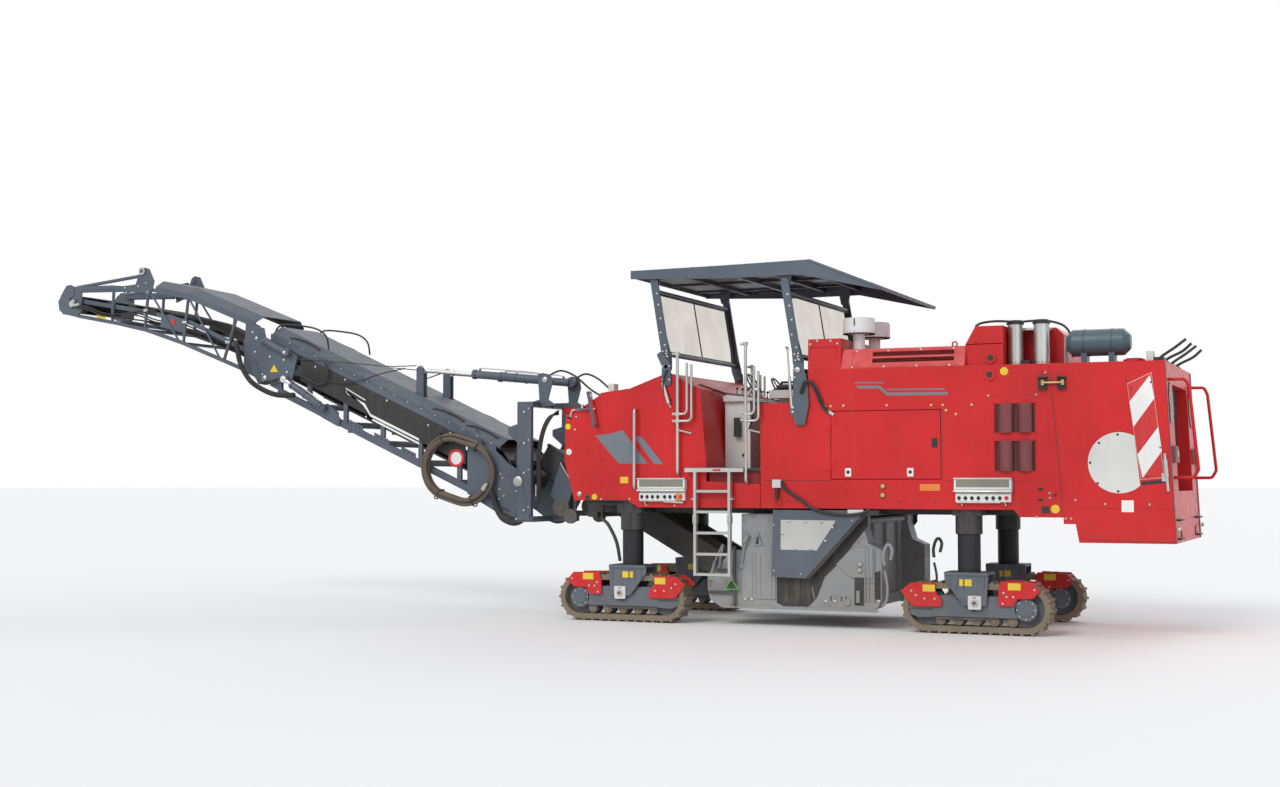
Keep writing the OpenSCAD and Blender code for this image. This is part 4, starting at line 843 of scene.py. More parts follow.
def filter_windows():
    """Canisters and wire mesh in the two windows of each side."""
    canisters, wires, rims = forms(3)
    for side in SIDES:
        wall = from_face(side)
        for z0, z1 in ((1700, 2030), (2100, 2420)):
            for x in (4425, 4625):
                canisters.rod((x, wall(-34), z0 + 8), (x, wall(-34), z1 - 8), 82, 28)
                for k in range(1, 9):
                    z = z0 + (z1 - z0) * k / 9
                    canisters.ring((x, wall(-34), z), (0, 0, 1), 85, 80, 5, 28)
            for k in range(1, 22):
                x = 4300 + 20 * k
                wires.box((x - 1.5, wall(-12), z0 + 2), (x + 1.5, wall(-9), z1 - 2))
            for k in range(1, int((z1 - z0) / 20)):
                z = z0 + 20 * k
                wires.box((4302, wall(-12), z - 1.2), (4738, wall(-9), z + 1.2))
            spans = ((4300, z0, 4740, z0 + 10), (4300, z1 - 10, 4740, z1), (4300, z0, 4310, z1),
                     (4730, z0, 4740, z1))
            boxes(rims, spans, wall(-20), wall(3))
    canisters.done("filter_canisters", surface("canister_red", (0.20, 0.05, 0.055), 0.45, 0.2, dust=0.5,
                                               streaks=0.5), smooth=True)
    wires.done("window_wires", surface("window_wire", (0.32, 0.07, 0.07), 0.5, 0.3, dust=0.3))
    rims.done("window_rims", RED, bevel=1.5)


def hood_details():
    """Louvres, frames, lids and folds of the upper hood."""
    slats, black, reds = forms(3)
    for side in SIDES:
        wall = from_face(side)
        # Louvre slats behind the two long slots
        for z in (2880, 2950):
            for k in range(3):
                y = hood_y(z) - 22
                slats.prism([(2992, z + 4 + 15 * k), (3878, z + 4 + 15 * k), (3878, z + 8 + 15 * k),
                             (2992, z + 8 + 15 * k)], (side * (y - 34), side * y))
            black.box((2990, side * (hood_y(z) - 80), z), (3880, side * (hood_y(z) - 70), z + 45))
        # Raised frame round the louvres
        for outline in (rect(2740, 2828, 3900, 2844), rect(2770, 3000, 3900, 3016),
                        [(2740, 2828), (2752, 2828), (2786, 3016), (2774, 3016)],
                        rect(2950, 2844, 2990, 3000)):
            reds.slab([(x, side * (hood_y(z) + out), z) for out in (-3, 3) for x, z in outline])
        # Recessed panel of the front box
        spans = ((2285, 3064, 2590, 3078), (2285, 2930, 2590, 2942), (2285, 2942, 2297, 3064),
                 (2578, 2942, 2590, 3064))
        boxes(reds, spans, wall(-24), wall(-6))
        black.box((2297, wall(-20), 2942), (2578, wall(-16), 3064))
        reds.ring((3864, side * 1020, 3060), (0, 1, 0), 34, 18, 14)
        reds.ring((2700, side * 700, 3060), (0, 1, 0), 30, 16, 14)
        # Corner folds of the hood
        reds.rod((4000, wall(-2), 2820), (4000, wall(-60), 3035), 6, 10)
    # Lids, hinges and a walkway on top of the engine
    reds.box((4990, -500, 2820), (5900, 500, 2838))
    reds.box((4990, 560, 2820), (5600, 1060, 2836))
    black.rod((5000, -560, 2832), (5900, -560, 2832), 9, 12)
    reds.rod((5700, -900, 2820), (5700, -900, 2852), 110, 32)
    black.rod((5700, -900, 2850), (5700, -900, 2862), 84, 32)
    slats.done("hood_slats", GRILLE_RED)
    black.done("hood_dark_parts", BLACK, bevel=2)
    reds.done("hood_frames", RED, bevel=2)


STACKS = (4480, 4755)
STACK_Y = -880
TANK_Y = -800
TANK_Z = 3045
TANK_R = 144
AIR_CLEANERS = ((2760, -850), (2760, -250))


def exhaust_and_tank():
    """Caps and bands of the stacks, straps of the tank, trim of the air cleaners."""
    dark, steel, straps, reds = forms(4)
    for x in STACKS:
        dark.rod((x, STACK_Y, 3255), (x, STACK_Y, 3275), 92, 32)
        dark.rod((x, STACK_Y, 3262), (x, STACK_Y, 3300), 74, 32)
        steel.ring((x, STACK_Y, 2960), (0, 0, 1), 84, 79, 22)
        steel.ring((x, STACK_Y, 3170), (0, 0, 1), 84, 79, 22)
        for a in around(14):
            dark.dome((x + 80 * math.cos(a), STACK_Y + 80 * math.sin(a), 2850),
                      (math.cos(a), math.sin(a), 0), 7, 4)
    # Black hoop over the exhausts and the pipes beside them
    dark.tube([(4100, -1060, 3236), (4150, -1010, 3275), (4300, -985, 3292), (4480, -975, 3280)], 13)
    dark.tube([(4480, -780, 3290), (4620, -775, 3300), (4800, -775, 3295), (4980, -790, 3230),
               (5060, TANK_Y, 3080), (5062, TANK_Y, 2900)], 13)
    steel.rod((5062, TANK_Y, 2930), (5062, TANK_Y, 3030), 22, 16)
    steel.rod((5040, TANK_Y, 3010), (5110, TANK_Y, 3010), 17, 16)
    dark.box((4560, -930, 2822), (4640, TANK_Y, 2872))
    for x in (5190, 5470):
        hoop = [(x, TANK_Y + TANK_R * math.cos(a), TANK_Z + TANK_R * math.sin(a)) for a in around(20)]
        for a, b in zip(hoop, hoop[1:] + hoop[:1]):
            straps.rod(a, b, 5, 6)
    straps.rod((5080, TANK_Y, 3060), (5040, TANK_Y, 3060), 16, 14)
    straps.tube([(5042, TANK_Y, 3060), (5010, -810, 3040), (5005, -850, 2950), (5020, -900, 2825)], 10)
    straps.dome((5560, -868, 3090), (0.3, -1, 0.5), 16, 12)
    # Fitting at the cowl's side, and folded edges of the cowl
    reds.box((4000, -1100, 3040), (4390, -1092, 3052))
    reds.ring((4107, -1100, 3060), (0, -1, 0), 16, 8, 10)
    dark.done("exhaust_caps", BLACK, bevel=2)
    steel.done("exhaust_bands", STEEL)
    straps.done("tank_straps", TANK, smooth=True)
    reds.done("cowl_trim", RED, bevel=2)

    caps, rings = forms(2)
    for x, y in AIR_CLEANERS:
        caps.rod((x, y, 3380), (x, y, 3392), 168, 40)
        rings.ring((x, y, 3215), (0, 0, 1), 178, 120, 10)
        for a in around(24):
            rim_x, rim_y = x + 172 * math.cos(a), y + 172 * math.sin(a)
            rings.box((rim_x - 3, rim_y - 3, 3222), (rim_x + 3, rim_y + 3, 3250))
        rings.box((x - 6, y - 182, 3300), (x + 6, y - 174, 3378))
    caps.done("air_cleaner_tops", PANEL, bevel=3)
    rings.done("air_cleaner_rims", DARK)


REAR_TOP_X = 6027
REAR_TOP_Z = 2820
REAR_LEAN = 0.0477


def on_rear_face(outline, side, inner, outer):
    """A [y, z] outline at two distances out from the leaning rear face."""
    return [(REAR_TOP_X + (REAR_TOP_Z - z) * REAR_LEAN + out, side * y, z) for out in (inner, outer)
            for y, z in outline]


def rear_end():
    """Warning boards with the painted shadow under them, corner strips, windows, steps and bars of the tail.
    """
    reds, whites, black, steel, dusty, glass = forms(6)
    for side in SIDES:
        wall = from_face(side)
        y = BODY_W + 10
        patch(reds, [(5663, 2586), (5898, 2694), (6006, 1644), (5783, 1619)], side, 1.5, y)
        for outline in ([(5681, 2405), (5885, 2672), (5925, 2436), (5717, 2150)],
                        [(5752, 1870), (5960, 2150), (5990, 1905), (5800, 1636)]):
            patch(whites, outline, side, 3.0, y)
        for x, z in ((5890, 2600), (5975, 1940), (5840, 1650), (5700, 2540)):
            disc(black, x, z, 9, side, 5, 12, y)
        for x, z in ((5560, 2076), (5374, 1992), (5283, 1791), (5356, 1582), (5558, 1500)):
            disc(black, x, z, 12, side, 12, 12)
        seam(black, (5640, 2690), (5662, 2560), side, 8)
        # Black strip just under the board's lower edge: painted shadow that the board casts on the side panel
        patch(black, [(5790, 1560), (6010, 1585), (6012, 1618), (5783, 1600)], side, 1.0)
        steel.rod((6016, wall(14), 1880), (6046, wall(14), 1500), 15, 16)
        steel.rod((6020, wall(14), 1820), (6034, wall(14), 1640), 22, 16)
        steel.box((5985, wall(), 1600), (6030, wall(16), 1680))
        # Dusty corner strip, tall window, lamp box and steps of the rear face
        for z0, z1 in ((980, 1500), (1500, 2200), (2200, 2810)):
            dusty.slab(on_rear_face(rect(BODY_W - 2, z0, BODY_W - 70, z1), side, 0, 5))
        window = [(1010, 2480), (900, 2610), (780, 2620), (720, 2500), (720, 2290), (800, 2200), (1000, 2190)]
        glass.add(on_rear_face(window, side, 1, 8), end_faces(2, len(window)) + bands(2, len(window)))
        dusty.slab(on_rear_face(rect(1020, 1790, 760, 1960), side, 1, 40))
        steel.dome((6110, side * 890, 1880), (1, 0, 0), 34, 14, 20)
        black.box((6090, side * 690, 1010), (6150, side * 1000, 1030))
        black.box((6090, side * 690, 1200), (6150, side * 1000, 1220))
        steel.dome((6128, side * 1080, 1120), (1, 0, 0), 24, 30, 14)
    # Black bent bars over the rear edge
    for y0 in (-560, 420):
        black.tube([(5850, y0, 2822), (5930, y0, 2900), (6060, y0 + 20, 2990), (6170, y0 + 30, 3075)], 15)
        black.tube([(5900, y0 + 160, 2822), (5980, y0 + 160, 2890), (6120, y0 + 165, 2960),
                    (6210, y0 + 165, 3040)], 15)
        black.box((5780, y0 - 40, 2820), (5990, y0 + 210, 2850))
    black.box((5840, -1060, 2820), (6010, -820, 2860))
    reds.done("warning_boards", SIGN_RED)
    whites.done("warning_board_bars", SIGN_WHITE)
    black.done("rear_black_parts", BLACK, bevel=2)
    steel.done("rear_steel_parts", STEEL, bevel=2)
    dusty.done("rear_dusty_strips", surface("dusty_red", (0.30, 0.10, 0.10), 0.6, dust=0.7, streaks=0.5),
               bevel=2)
    glass.done("rear_dark_windows", surface("dark_red_window", (0.08, 0.012, 0.014), 0.25, dust=0.15,
                                            grain=0.0), bevel=1.5)


def skirt_hose():
    """The hose, box and wire that hang on each side below the doors."""
    for side in SIDES:
        wall = from_face(side)
        hose, box, red = forms(3)
        hose.tube([(1960, wall(22), 1600), (2030, wall(26), 1500), (2166, wall(26), 1416),
                   (2355, wall(24), 1291), (2636, wall(22), 1240), (2860, wall(20), 1255),
                   (2960, wall(6), 1300)], 17)
        box.box((1866, wall(), 1530), (1962, wall(60), 1620))
        red.tube([(1905, wall(30), 1420), (1880, wall(32), 1360), (1900, wall(32), 1325),
                  (1945, wall(32), 1345), (1948, wall(30), 1430)], 5, 8)
        hose.rod((1910, wall(30), 1530), (1912, wall(30), 1405), 20, 16)
        hose.box((2740, wall(-10), 1235), (3060, wall(14), 1290))
        box.box((2712, wall(-4), 1245), (2890, wall(20), 1296))
        hose.done("skirt_hose_" + ("left" if side < 0 else "right"), RUBBER, smooth=True)
        box.done("skirt_box_" + ("left" if side < 0 else "right"), WHITE, bevel=4)
        red.done("skirt_wire_" + ("left" if side < 0 else "right"), SIGN_RED, smooth=True)


# Entry, rails and operator's place

def entry_details():
    """Mesh, rail clamps, treads and brackets of the two entries."""
    mesh_plates, clamps, treads, steel, pads = forms(5)
    for side in SIDES:
        wall = from_face(side)
        y = wall(60)
        mesh_plates.box((1090, side * 1112, 1400), (1692, side * 1118, 1705))
        for e, top in ((740, 3040), (1560, 3126)):
            for z in (2359, 2280, top):
                clamps.rod((e, y, z - 22), (e, y, z + 22), 27, 18)
                clamps.rod((e - 4, y, z), (e - 46, y + side * 4, z), 13, 12)
                clamps.bolts([(e - 46, y + side * 4, z)], (-1, 0, 0), 17, 12)
            steel.rod((e, y, 2180), (e + 150, y - side * 50, 2140), 10, 12)
        # Open grating of the landing: bars across and a rim
        for k in range(17):
            x = 855 + 42 * k
            treads.box((x, wall(), 1741), (x + 5, wall(92), 1752))
        for k in range(4):
            yy = side * (BODY_W + 10 + 26 * k)
            treads.box((842, yy, 1741), (1538, yy + side * 5, 1750))
        for x in (940, 1390):
            steel.box((x - 20, wall(), 1395), (x + 20, wall(90), 1412))
            steel.dome((x, wall(40), 1412), (0, 0, 1), 12, 9)
        for x in (960, 1370):
            steel.box((x - 22, side * 1180, 1130), (x + 22, side * 1250, 1225))
            steel.bolts([(x, side * 1250, 1150), (x, side * 1250, 1205)], (0, side, 0), 11, 7)
        for z in (1490, 1260, 1025, 790, 565):
            for k in range(12):
                x = 990 + 31 * k
                treads.box((x, side * 1193, z + 13), (x + 8, side * 1237, z + 18))
        pads.box((1180, wall(88), 1715), (1270, wall(97), 1737))
    mesh_plates.done("entry_mesh_plates", GRILLE_RED)
    clamps.done("rail_clamps", ZINC, smooth=True)
    treads.done("landing_treads", ZINC)
    steel.done("entry_brackets", ZINC, bevel=2)
    pads.done("landing_red_marks", SIGN_RED)


CUSHION_STEPS = 8
CUSHION_FLARE = 0.035
CUSHION_EDGE = 0.72
SEAM_LEVEL = 0.62


def crowned(form, place, along, across, up, crown):
    """A cushion: a closed form with rounded sides whose upper face bulges, from the middle of its foot."""
    n = CUSHION_STEPS
    points = []
    for level in range(2):
        for i in range(n + 1):
            for k in range(n + 1):
                u, v = 2 * i / n - 1, 2 * k / n - 1
                swell = (1 - u ** 4) * (1 - v ** 4)
                inset = 1.0 - CUSHION_FLARE * (1 - level)
                thick = up.length * (CUSHION_EDGE + (1 - CUSHION_EDGE) * swell)
                rise = thick + crown * swell if level else 0.0
                points.append(Vector(place) + along * (u * inset) + across * (v * inset)
                              + up.normalized() * rise)
    row = n + 1
    layer = row * row
    faces = []
    for i in range(n):
        for k in range(n):
            a = i * row + k
            faces.append((a, a + 1, a + row + 1, a + row))
            faces.append((layer + a, layer + a + row, layer + a + row + 1, layer + a + 1))
    rim = list(range(row)) + [i * row + n for i in range(1, row)]
    rim += [n * row + k for k in range(n - 1, -1, -1)] + [i * row for i in range(n - 1, 0, -1)]
    for a, b in zip(rim, rim[1:] + rim[:1]):
        faces.append((a, b, b + layer, a + layer))
    form.add(points, faces)
    return [points[a].lerp(points[a + layer], SEAM_LEVEL) for a in rim]


def cushions():
    """The two operator's cushions with their backs and piped seams."""
    for side, name in ((LEFT, "cushion_left"), (RIGHT, "cushion_right")):
        pad, seam_line = forms(2)
        lean = Vector((-0.23, 0, 0.97))
        parts = (((1925, side * 700, 2582), Vector((186, 0, 0)), Vector((0, 206, 0)), Vector((0, 0, 66)), 16),
                 ((2128, side * 700, 2752), lean * -118, Vector((0, 194, 0)), Vector((-56, 0, -13)), 14),
                 ((1940, side * 926, 2640), Vector((116, 0, 0)), Vector((0, 22, 0)), Vector((0, 0, 40)), 4))
        for place, along, across, up, crown in parts:
            rim = crowned(pad, place, along, across, up, crown)
            seam_line.tube([*rim, rim[0]], 5, 8, 1)
        piece = pad.done(name, VINYL, smooth=True)
        rounding = piece.modifiers.new("rounding", "SUBSURF")
        rounding.levels = 1
        rounding.render_levels = 1
        seam_line.done(name + "_seams", BLACK, smooth=True)


def operator_place():
    """Desks with levers and wheels, cabinet sides, rail and deck marks."""
    dark, panel, knobs, steel, cable = forms(5)
    # Desk tops with levers, screens and a wheel on both ends
    for side in SIDES:
        dark.prism([(1075, 2602), (1410, 2562), (1412, 2572), (1077, 2612)], (side * 250, side * 610))
        for k in range(4):
            x = 1120 + 70 * k
            z = 2606 - (x - 1075) * 0.12
            knobs.rod((x, side * 330, z), (x + 6, side * 330, z + 74), 6, 10)
            knobs.dome((x + 6, side * 330, z + 70), (0, 0, 1), 17, 26, 14)
            panel.box((x - 18, side * 480, z), (x + 18, side * 560, z + 9))
        knobs.ring((1365, side * 425, 2712), (0.85, 0, 0.5), 150, 134, 16, 40)
        knobs.rod((1355, side * 425, 2716), (1300, side * 425, 2640), 17, 16)
        for a in (90, 210, 330):
            r = math.radians(a)
            knobs.rod((1365, side * 425, 2716), (1365 - 70 * math.sin(r), side * 425 + 140 * math.cos(r),
                                                 2716 + 118 * math.sin(r)), 8, 8)
        # Cabinet sides: white corner post, grey door with a lock and a cable
        panel.box((1078, side * 562, 1760), (1376, side * 566, 2500))
        steel.box((1340, side * 560, 1750), (1384, side * 590, 2520))
        dark.box((1200, side * 566, 2110), (1270, side * 640, 2330))
        dark.rod((1300, side * 570, 1900), (1300, side * 582, 1900), 22, 18)
        cable.tube([(1100, side * 590, 2560), (1060, side * 640, 2620), (960, side * 720, 2660),
                    (860, side * 860, 2700), (820, side * 980, 2650)], 12)
        cable.tube([(1380, side * 600, 2540), (1440, side * 640, 2460), (1430, side * 650, 2300),
                    (1380, side * 620, 2200)], 10)
        # Foot of the operator's place on the rear deck
        dark.rod((1875, side * 700, 2466), (1875, side * 700, 2590), 60, 24)
    dark.done("desk_dark_parts", BLACK, bevel=4)
    panel.done("cabinet_panels", PANEL, bevel=2)
    knobs.done("desk_levers", BLACK, smooth=True)
    steel.done("cabinet_posts", SIGN_WHITE, bevel=3)
    cable.done("desk_cables", RUBBER, smooth=True)

    # Rail of dark pipes across the entry, and the deck's tread plate
    rail, tread = forms(2)
    for x in (1440, 1600):
        rail.rod((x, 330, 1740), (x, 330, 2780), 16, 14)
        rail.rod((x, 780, 1740), (x, 780, 2780), 16, 14)
    for z in (2360, 2580, 2780):
        rail.rod((1440, 330, z), (1600, 330, z), 14, 14)
        rail.rod((1600, 330, z), (1600, 780, z), 14, 14)
        rail.rod((1440, 780, z), (1600, 780, z), 14, 14)
    for i in range(12):
        for k in range(36):
            x, y = 1100 + 52 * i, -1090 + 62 * k
            if x < 1400 and abs(y) < 570:
                continue
            tread.box((x, y, 1739), (x + 26, y + 6, 1743))
            tread.box((x + 30, y + 22, 1739), (x + 36, y + 48, 1743))
    rail.done("entry_dark_rail", BLACK, smooth=True)
    tread.done("deck_tread_marks", STEEL)


# Drum housing

HOUSING_W = 1030


def housing_details():
    """Plates, ribs, openings, rods and the belt guards of the drum housing, with the painted shadow that a
    guard casts on it.
    """
    grey, zinc, bolts, black, posts, signs, sign_marks = forms(7)
    rubber, rods = forms(2)
    for side in SIDES:
        wall, box_side = from_face(side), from_face(side, HOUSING_W)
        patch(zinc, [(1945, 1179), (2577, 1176), (2359, 850), (1943, 852)], side, 5)
        side_bolts(bolts, [(2043, 1160), (2228, 1160), (2413, 1160), (2539, 1100), (2458, 955),
                           (2290, 868), (2110, 868), (1962, 1030)], side, 15, 12, BODY_W + 5)
        side_bolts(bolts, [(1864, 1120), (1862, 620), (2754, 1180), (2173, 590)], side, 9, 7)
        for a, b in (((1935, 696), (1990, 622)), ((1990, 622), (2070, 622)), ((2070, 622), (2128, 690))):
            seam(black, a, b, side, 12)
        # Rubber edge of the belt guard and the dark window under it
        rubber.prism([(2826, 1200), (2905, 1288), (2225, 548), (2175, 548)], (wall(-60), wall(-2)))
        rubber.prism([(2905, 1287), (2945, 1270), (2270, 540), (2225, 547)], (wall(-90), wall(-8)))
        black.prism([(1855, 545), (2225, 545), (2290, 300), (2218, 232), (1931, 228), (1854, 264)],
                    (box_side(-1), box_side(4)))
        for x in (1930, 2060, 2190):
            rubber.prism([(x, 545), (x + 70, 545), (x + 60, 260), (x + 14, 260)], (box_side(4), box_side(10)))
        # Black band along the guard's sloping edge and below it: painted shadow that the guard casts on the
        # housing
        black.prism([(2240, 560), (2900, 1270), (2900, 1120), (2560, 700), (2410, 560), (2330, 360),
                     (2300, 300)], (box_side(-1), box_side(3)))
        # Front part: upright weld ribs, plates with lifting tabs, a post with its two stays
        grey.prism([(1440, 820), (1524, 878), (1642, 981), (1700, 880), (1840, 883), (1840, 300),
                    (1440, 300)], (box_side(), box_side(12)))
        for x in (1565, 1605, 1660, 1790):
            grey.box((x, box_side(12), 330), (x + 12, box_side(19), 800))
        grey.prism([(1590, 880), (1642, 1040), (1690, 890)], (box_side(), box_side(25)))
        black.prism([(1613, 905), (1635, 990), (1655, 985), (1650, 900)], (box_side(25), box_side(27)))
        posts.box((1352, box_side(22), 215), (1384, box_side(54), 877))
        posts.box((1060, box_side(2), 345), (1352, box_side(34), 375))
        posts.box((1150, box_side(2), 590), (1352, box_side(34), 625))
        rods.rod((1490, box_side(40), 930), (1530, box_side(40), 1010), 26, 18)
        rods.rod((1445, box_side(30), 660), (1490, box_side(32), 900), 13, 14)
        rods.dome((1440, box_side(12), 660), (0, side, 0), 34, 22, 20)
        rods.rod((1180, box_side(30), 640), (1230, box_side(34), 900), 14, 14)
        rods.rod((1090, box_side(30), 560), (1130, box_side(32), 700), 17, 14)
        rods.rod((1130, box_side(32), 700), (1215, box_side(32), 880), 11, 14)
        signs.prism([(1340, 525), (1250, 394), (1428, 399)], (box_side(56), box_side(59)))
        sign_marks.prism([(1340, 505), (1272, 404), (1408, 407)], (box_side(59), box_side(60.5)))
        # Rear part: welded plate, slotted guides, knobs and the lever
        grey.prism([(2540, 700), (2720, 880), (2954, 900), (2954, 560), (2700, 560)],
                   (box_side(), box_side(14)))
        for x in (2860, 2900, 2960):
            grey.box((x, box_side(14), 300), (x + 13, box_side(22), 890))
        black.prism(rect(2745, 260, 2850, 560), (box_side(1), box_side(6)))
        rods.rod((2790, box_side(20), 290), (2790, box_side(20), 420), 22, 16)
        black.prism([(2975, 330), (3035, 330), (3035, 640), (2975, 620)], (box_side(1), box_side(6)))
        side_bolts(bolts, [(2813, 705), (2807, 640)], side, 28, 26, HOUSING_W + 14)
        side_bolts(bolts, [(2420, 289), (2521, 292), (1480, 290), (1560, 290), (3014, 306)], side, 20, 14,
                   HOUSING_W)
        for x in (2470, 2590, 2640):
            black.box((x, box_side(), 300), (x + 14, box_side(2), 350))
        rods.rod((2662, box_side(1), 291), (2662, box_side(14), 291), 40, 24)
        rods.tube([(3090, box_side(30), 700), (3080, box_side(45), 800), (3110, box_side(50), 900),
                   (3150, box_side(50), 920), (3180, box_side(50), 860), (3160, box_side(40), 760)], 19)
        rods.tube([(3060, box_side(20), 260), (3110, box_side(30), 330), (3120, box_side(30), 480),
                   (3090, box_side(30), 640)], 15)
        grey.box((2000, box_side(), 190), (3010, box_side(16), 222))
        grey.box((1210, box_side(), 190), (1830, box_side(16), 222))
    grey.done("housing_plates", LIGHT_GREY, bevel=3)
    zinc.done("guard_inset_plates", ZINC, bevel=1.5)
    bolts.done("housing_bolts", BOLT, smooth=True)
    black.done("housing_openings", BLACK)
    rubber.done("guard_rubber_edges", RUBBER, bevel=3)
    posts.done("housing_posts", DARK, bevel=3)
    rods.done("housing_rods", LIGHT_GREY, smooth=True)
    signs.done("triangle_signs", GREEN)
    sign_marks.done("triangle_sign_faces", surface("sign_black", (0.02, 0.03, 0.02), 0.5, dust=0.2,
                                                   grain=0.0))

    # The belt guards are blue-grey, unlike the worn housing behind them
    skins = Form()
    for side in SIDES:
        patch(skins, [(1834, 557), (2224, 548), (2900, 1283), (1857, 1283)], side, 1.2)
    skins.done("belt_guard_skins", GREY)


# Track units

TRACK_H = 550
TRACK_A = 525
SHOE_R = 253
SHOES = 34
REAR_PIVOT = 4080
LEG_Y = 980
LEGS_X = (90, 3990)
WHEEL_X = -525
WHEEL_Z = 268
PIN_Z = 330
ROLLER_Z = 138


def track_place(t):
    """Place and outward direction on the shoes' outline, at a share of the way round."""
    (x, z), outward = on_oval(TRACK_A, SHOE_R, t * (4 * TRACK_A + 2 * math.pi * SHOE_R))
    return x, z + TRACK_H / 2, outward


def hub(form, x, z, inner, outer, radius, sides):
    """A round part that lies across the machine."""
    form.rod((x, inner, z), (x, outer, z), radius, sides)


def undercarriage_details():
    """Labels, pivots, wheels and rollers of the four track units."""
    for end, sign, pivot in (("f", 1, 0), ("r", -1, REAR_PIVOT)):
        for letter, side in (("l", LEFT), ("r", RIGHT)):
            corner = end + letter
            body = "carrier_" + corner

            def u(x):
                return pivot + sign * x

            yellow, cream, steel, grey, dark, chain, caps = forms(7)
            for out in SIDES:
                def off(distance):
                    return side * LEG_Y + out * distance

                for x0, z0 in ((-478, 473), (425, 438)):
                    yellow.prism(rect(u(x0), z0, u(x0 + 132), z0 + 72), (off(151), off(154)))
                yellow.prism(rect(u(30), 505, u(160), 575), (off(162), off(166)))
                cream.prism([(u(-62), 262), (u(62), 262), (u(70), 280), (u(70), 405), (u(-70), 405),
                             (u(-70), 280)], (off(164), off(180)))
                hub(steel, u(0), PIN_Z, off(178), off(194), 36, 28)
                hub(dark, u(0), PIN_Z, off(193), off(195), 18, 20)
                steel.dome((u(0), off(178), 395), (0, out, 0), 17, 14)
                for x, z in ((-620, 480), (-400, 400), (-330, 400), (-290, 330), (-300, 440), (540, 360),
                             (630, 395), (430, 360), (680, 440)):
                    steel.dome((u(x), off(152), z), (0, out, 0), 12, 8)
                # Drive wheel with its bolts, ribs of the beam
                hub(grey, u(WHEEL_X), WHEEL_Z, off(90), off(126), 118, 40)
                hub(grey, u(WHEEL_X), WHEEL_Z, off(126), off(134), 74, 36)
                for a in around(8):
                    bolt_x, bolt_z = u(WHEEL_X) + 94 * math.cos(a), WHEEL_Z + 94 * math.sin(a)
                    steel.dome((bolt_x, off(126), bolt_z), (0, out, 0), 9, 7)
                grey.prism([(u(-430), 178), (u(455), 178), (u(455), 395), (u(250), 400), (u(10), 236),
                            (u(-150), 400), (u(-430), 400)], (off(108), off(126)))
                grey.prism([(u(440), 320), (u(735), 300), (u(700), 190), (u(610), 160), (u(440), 170)],
                           (off(80), off(122)))
                dark.box((u(440), off(122), 246), (u(720), off(125), 256))
                dark.box((u(-160), off(124), 150), (u(430), off(127), 172))
                # Rollers below the beam and chain links between the shoes
                for x in (-380, -190, 0, 190, 380):
                    hub(caps, u(x), ROLLER_Z, off(74), off(96), 52, 26)
                    hub(caps, u(x), ROLLER_Z, off(94), off(102), 26, 20)
                # Flanges of the yoke's plate
                grey.box((u(-140), off(162), 612), (u(320), off(174), 650))
                for x in (-105, 105, 175, 250):
                    grey.prism([(u(x), 612), (u(x + 16), 612), (u(x + 16), 470), (u(x), 500)],
                               (off(164), off(172)))
            track_y = side * LEG_Y
            for k in range(SHOES):
                p, q, n = track_place(k / SHOES)
                px = u(p)
                nx, nz = sign * n[0], n[1]
                tx, tz = nz, -nx
                for off in (-86, -40, 40, 86):
                    chain.dome((px + nx * -2, track_y + off, q + nz * -2), (nx, 0, nz), 11, 9, 8)
                # Inner chain link plates
                for off in (-48, 48):
                    a = Vector((px - nx * 42, track_y + off, q - nz * 42))
                    t = Vector((tx, 0, tz))
                    m = Vector((nx, 0, nz))
                    corners = [a + t * long + m * high for long, high in rect(-42, -18, 42, 18)]
                    chain.slab([tuple(c + Vector((0, d, 0))) for d in (-9, 9) for c in corners])
            yellow.done("labels_" + corner, YELLOW, body)
            cream.done("pivot_boxes_" + corner, WHITE, body, bevel=5)
            steel.done("track_bolts_" + corner, BOLT, body, smooth=True)
            grey.done("track_plates_" + corner, CARRIAGE, body, bevel=4)
            dark.done("track_dark_" + corner, DARK, body, bevel=1)
            caps.done("rollers_" + corner, TRACK, body, bevel=5)
            chain.done("track_links_" + corner, TRACK, body)


def legs():
    """Collars of the four legs, with their bolts and slides."""
    dark = Form()
    for x in LEGS_X:
        for side in SIDES:
            dark.rod((x, side * LEG_Y, 1050), (x, side * LEG_Y, 1330), 142, 40)
            for a in around(12):
                dark.dome((x + 130 * math.cos(a), side * LEG_Y + 130 * math.sin(a), 1050), (0, 0, -1), 8, 8)
            dark.box((x - 30, side * 1118, 1080), (x + 30, side * 1128, 1250))
    dark.done("leg_collars", DARK, smooth=True)


# Canopy

ARM_LEAN = math.radians(9.4)
ROOF_W = 1165
ARM_OUTSIDE = 1142
SCREEN_HALF_W = 1117
ARM_PIVOTS = (("front_arm_body", (585, 2900)), ("rear_arm_body", (2159, 2822)))
CANOPY_HOSE = [(2190, 40, 2560), (2240, 44, 2690), (2310, 34, 2670), (2370, 28, 2560), (2425, 22, 2430),
               (2500, 10, 2340)]


def on_arm(pivot, across, up):
    """A place on a canopy arm: distance across it and up it."""
    x = pivot[0] - up * math.sin(ARM_LEAN) + across * math.cos(ARM_LEAN)
    z = pivot[1] + up * math.cos(ARM_LEAN) + across * math.sin(ARM_LEAN)
    return x, z


def bar_on_arm(pivot, half, bottom, top):
    """Outline of a bar along a canopy arm."""
    return [on_arm(pivot, across, up) for across, up in rect(-half, bottom, half, top)]


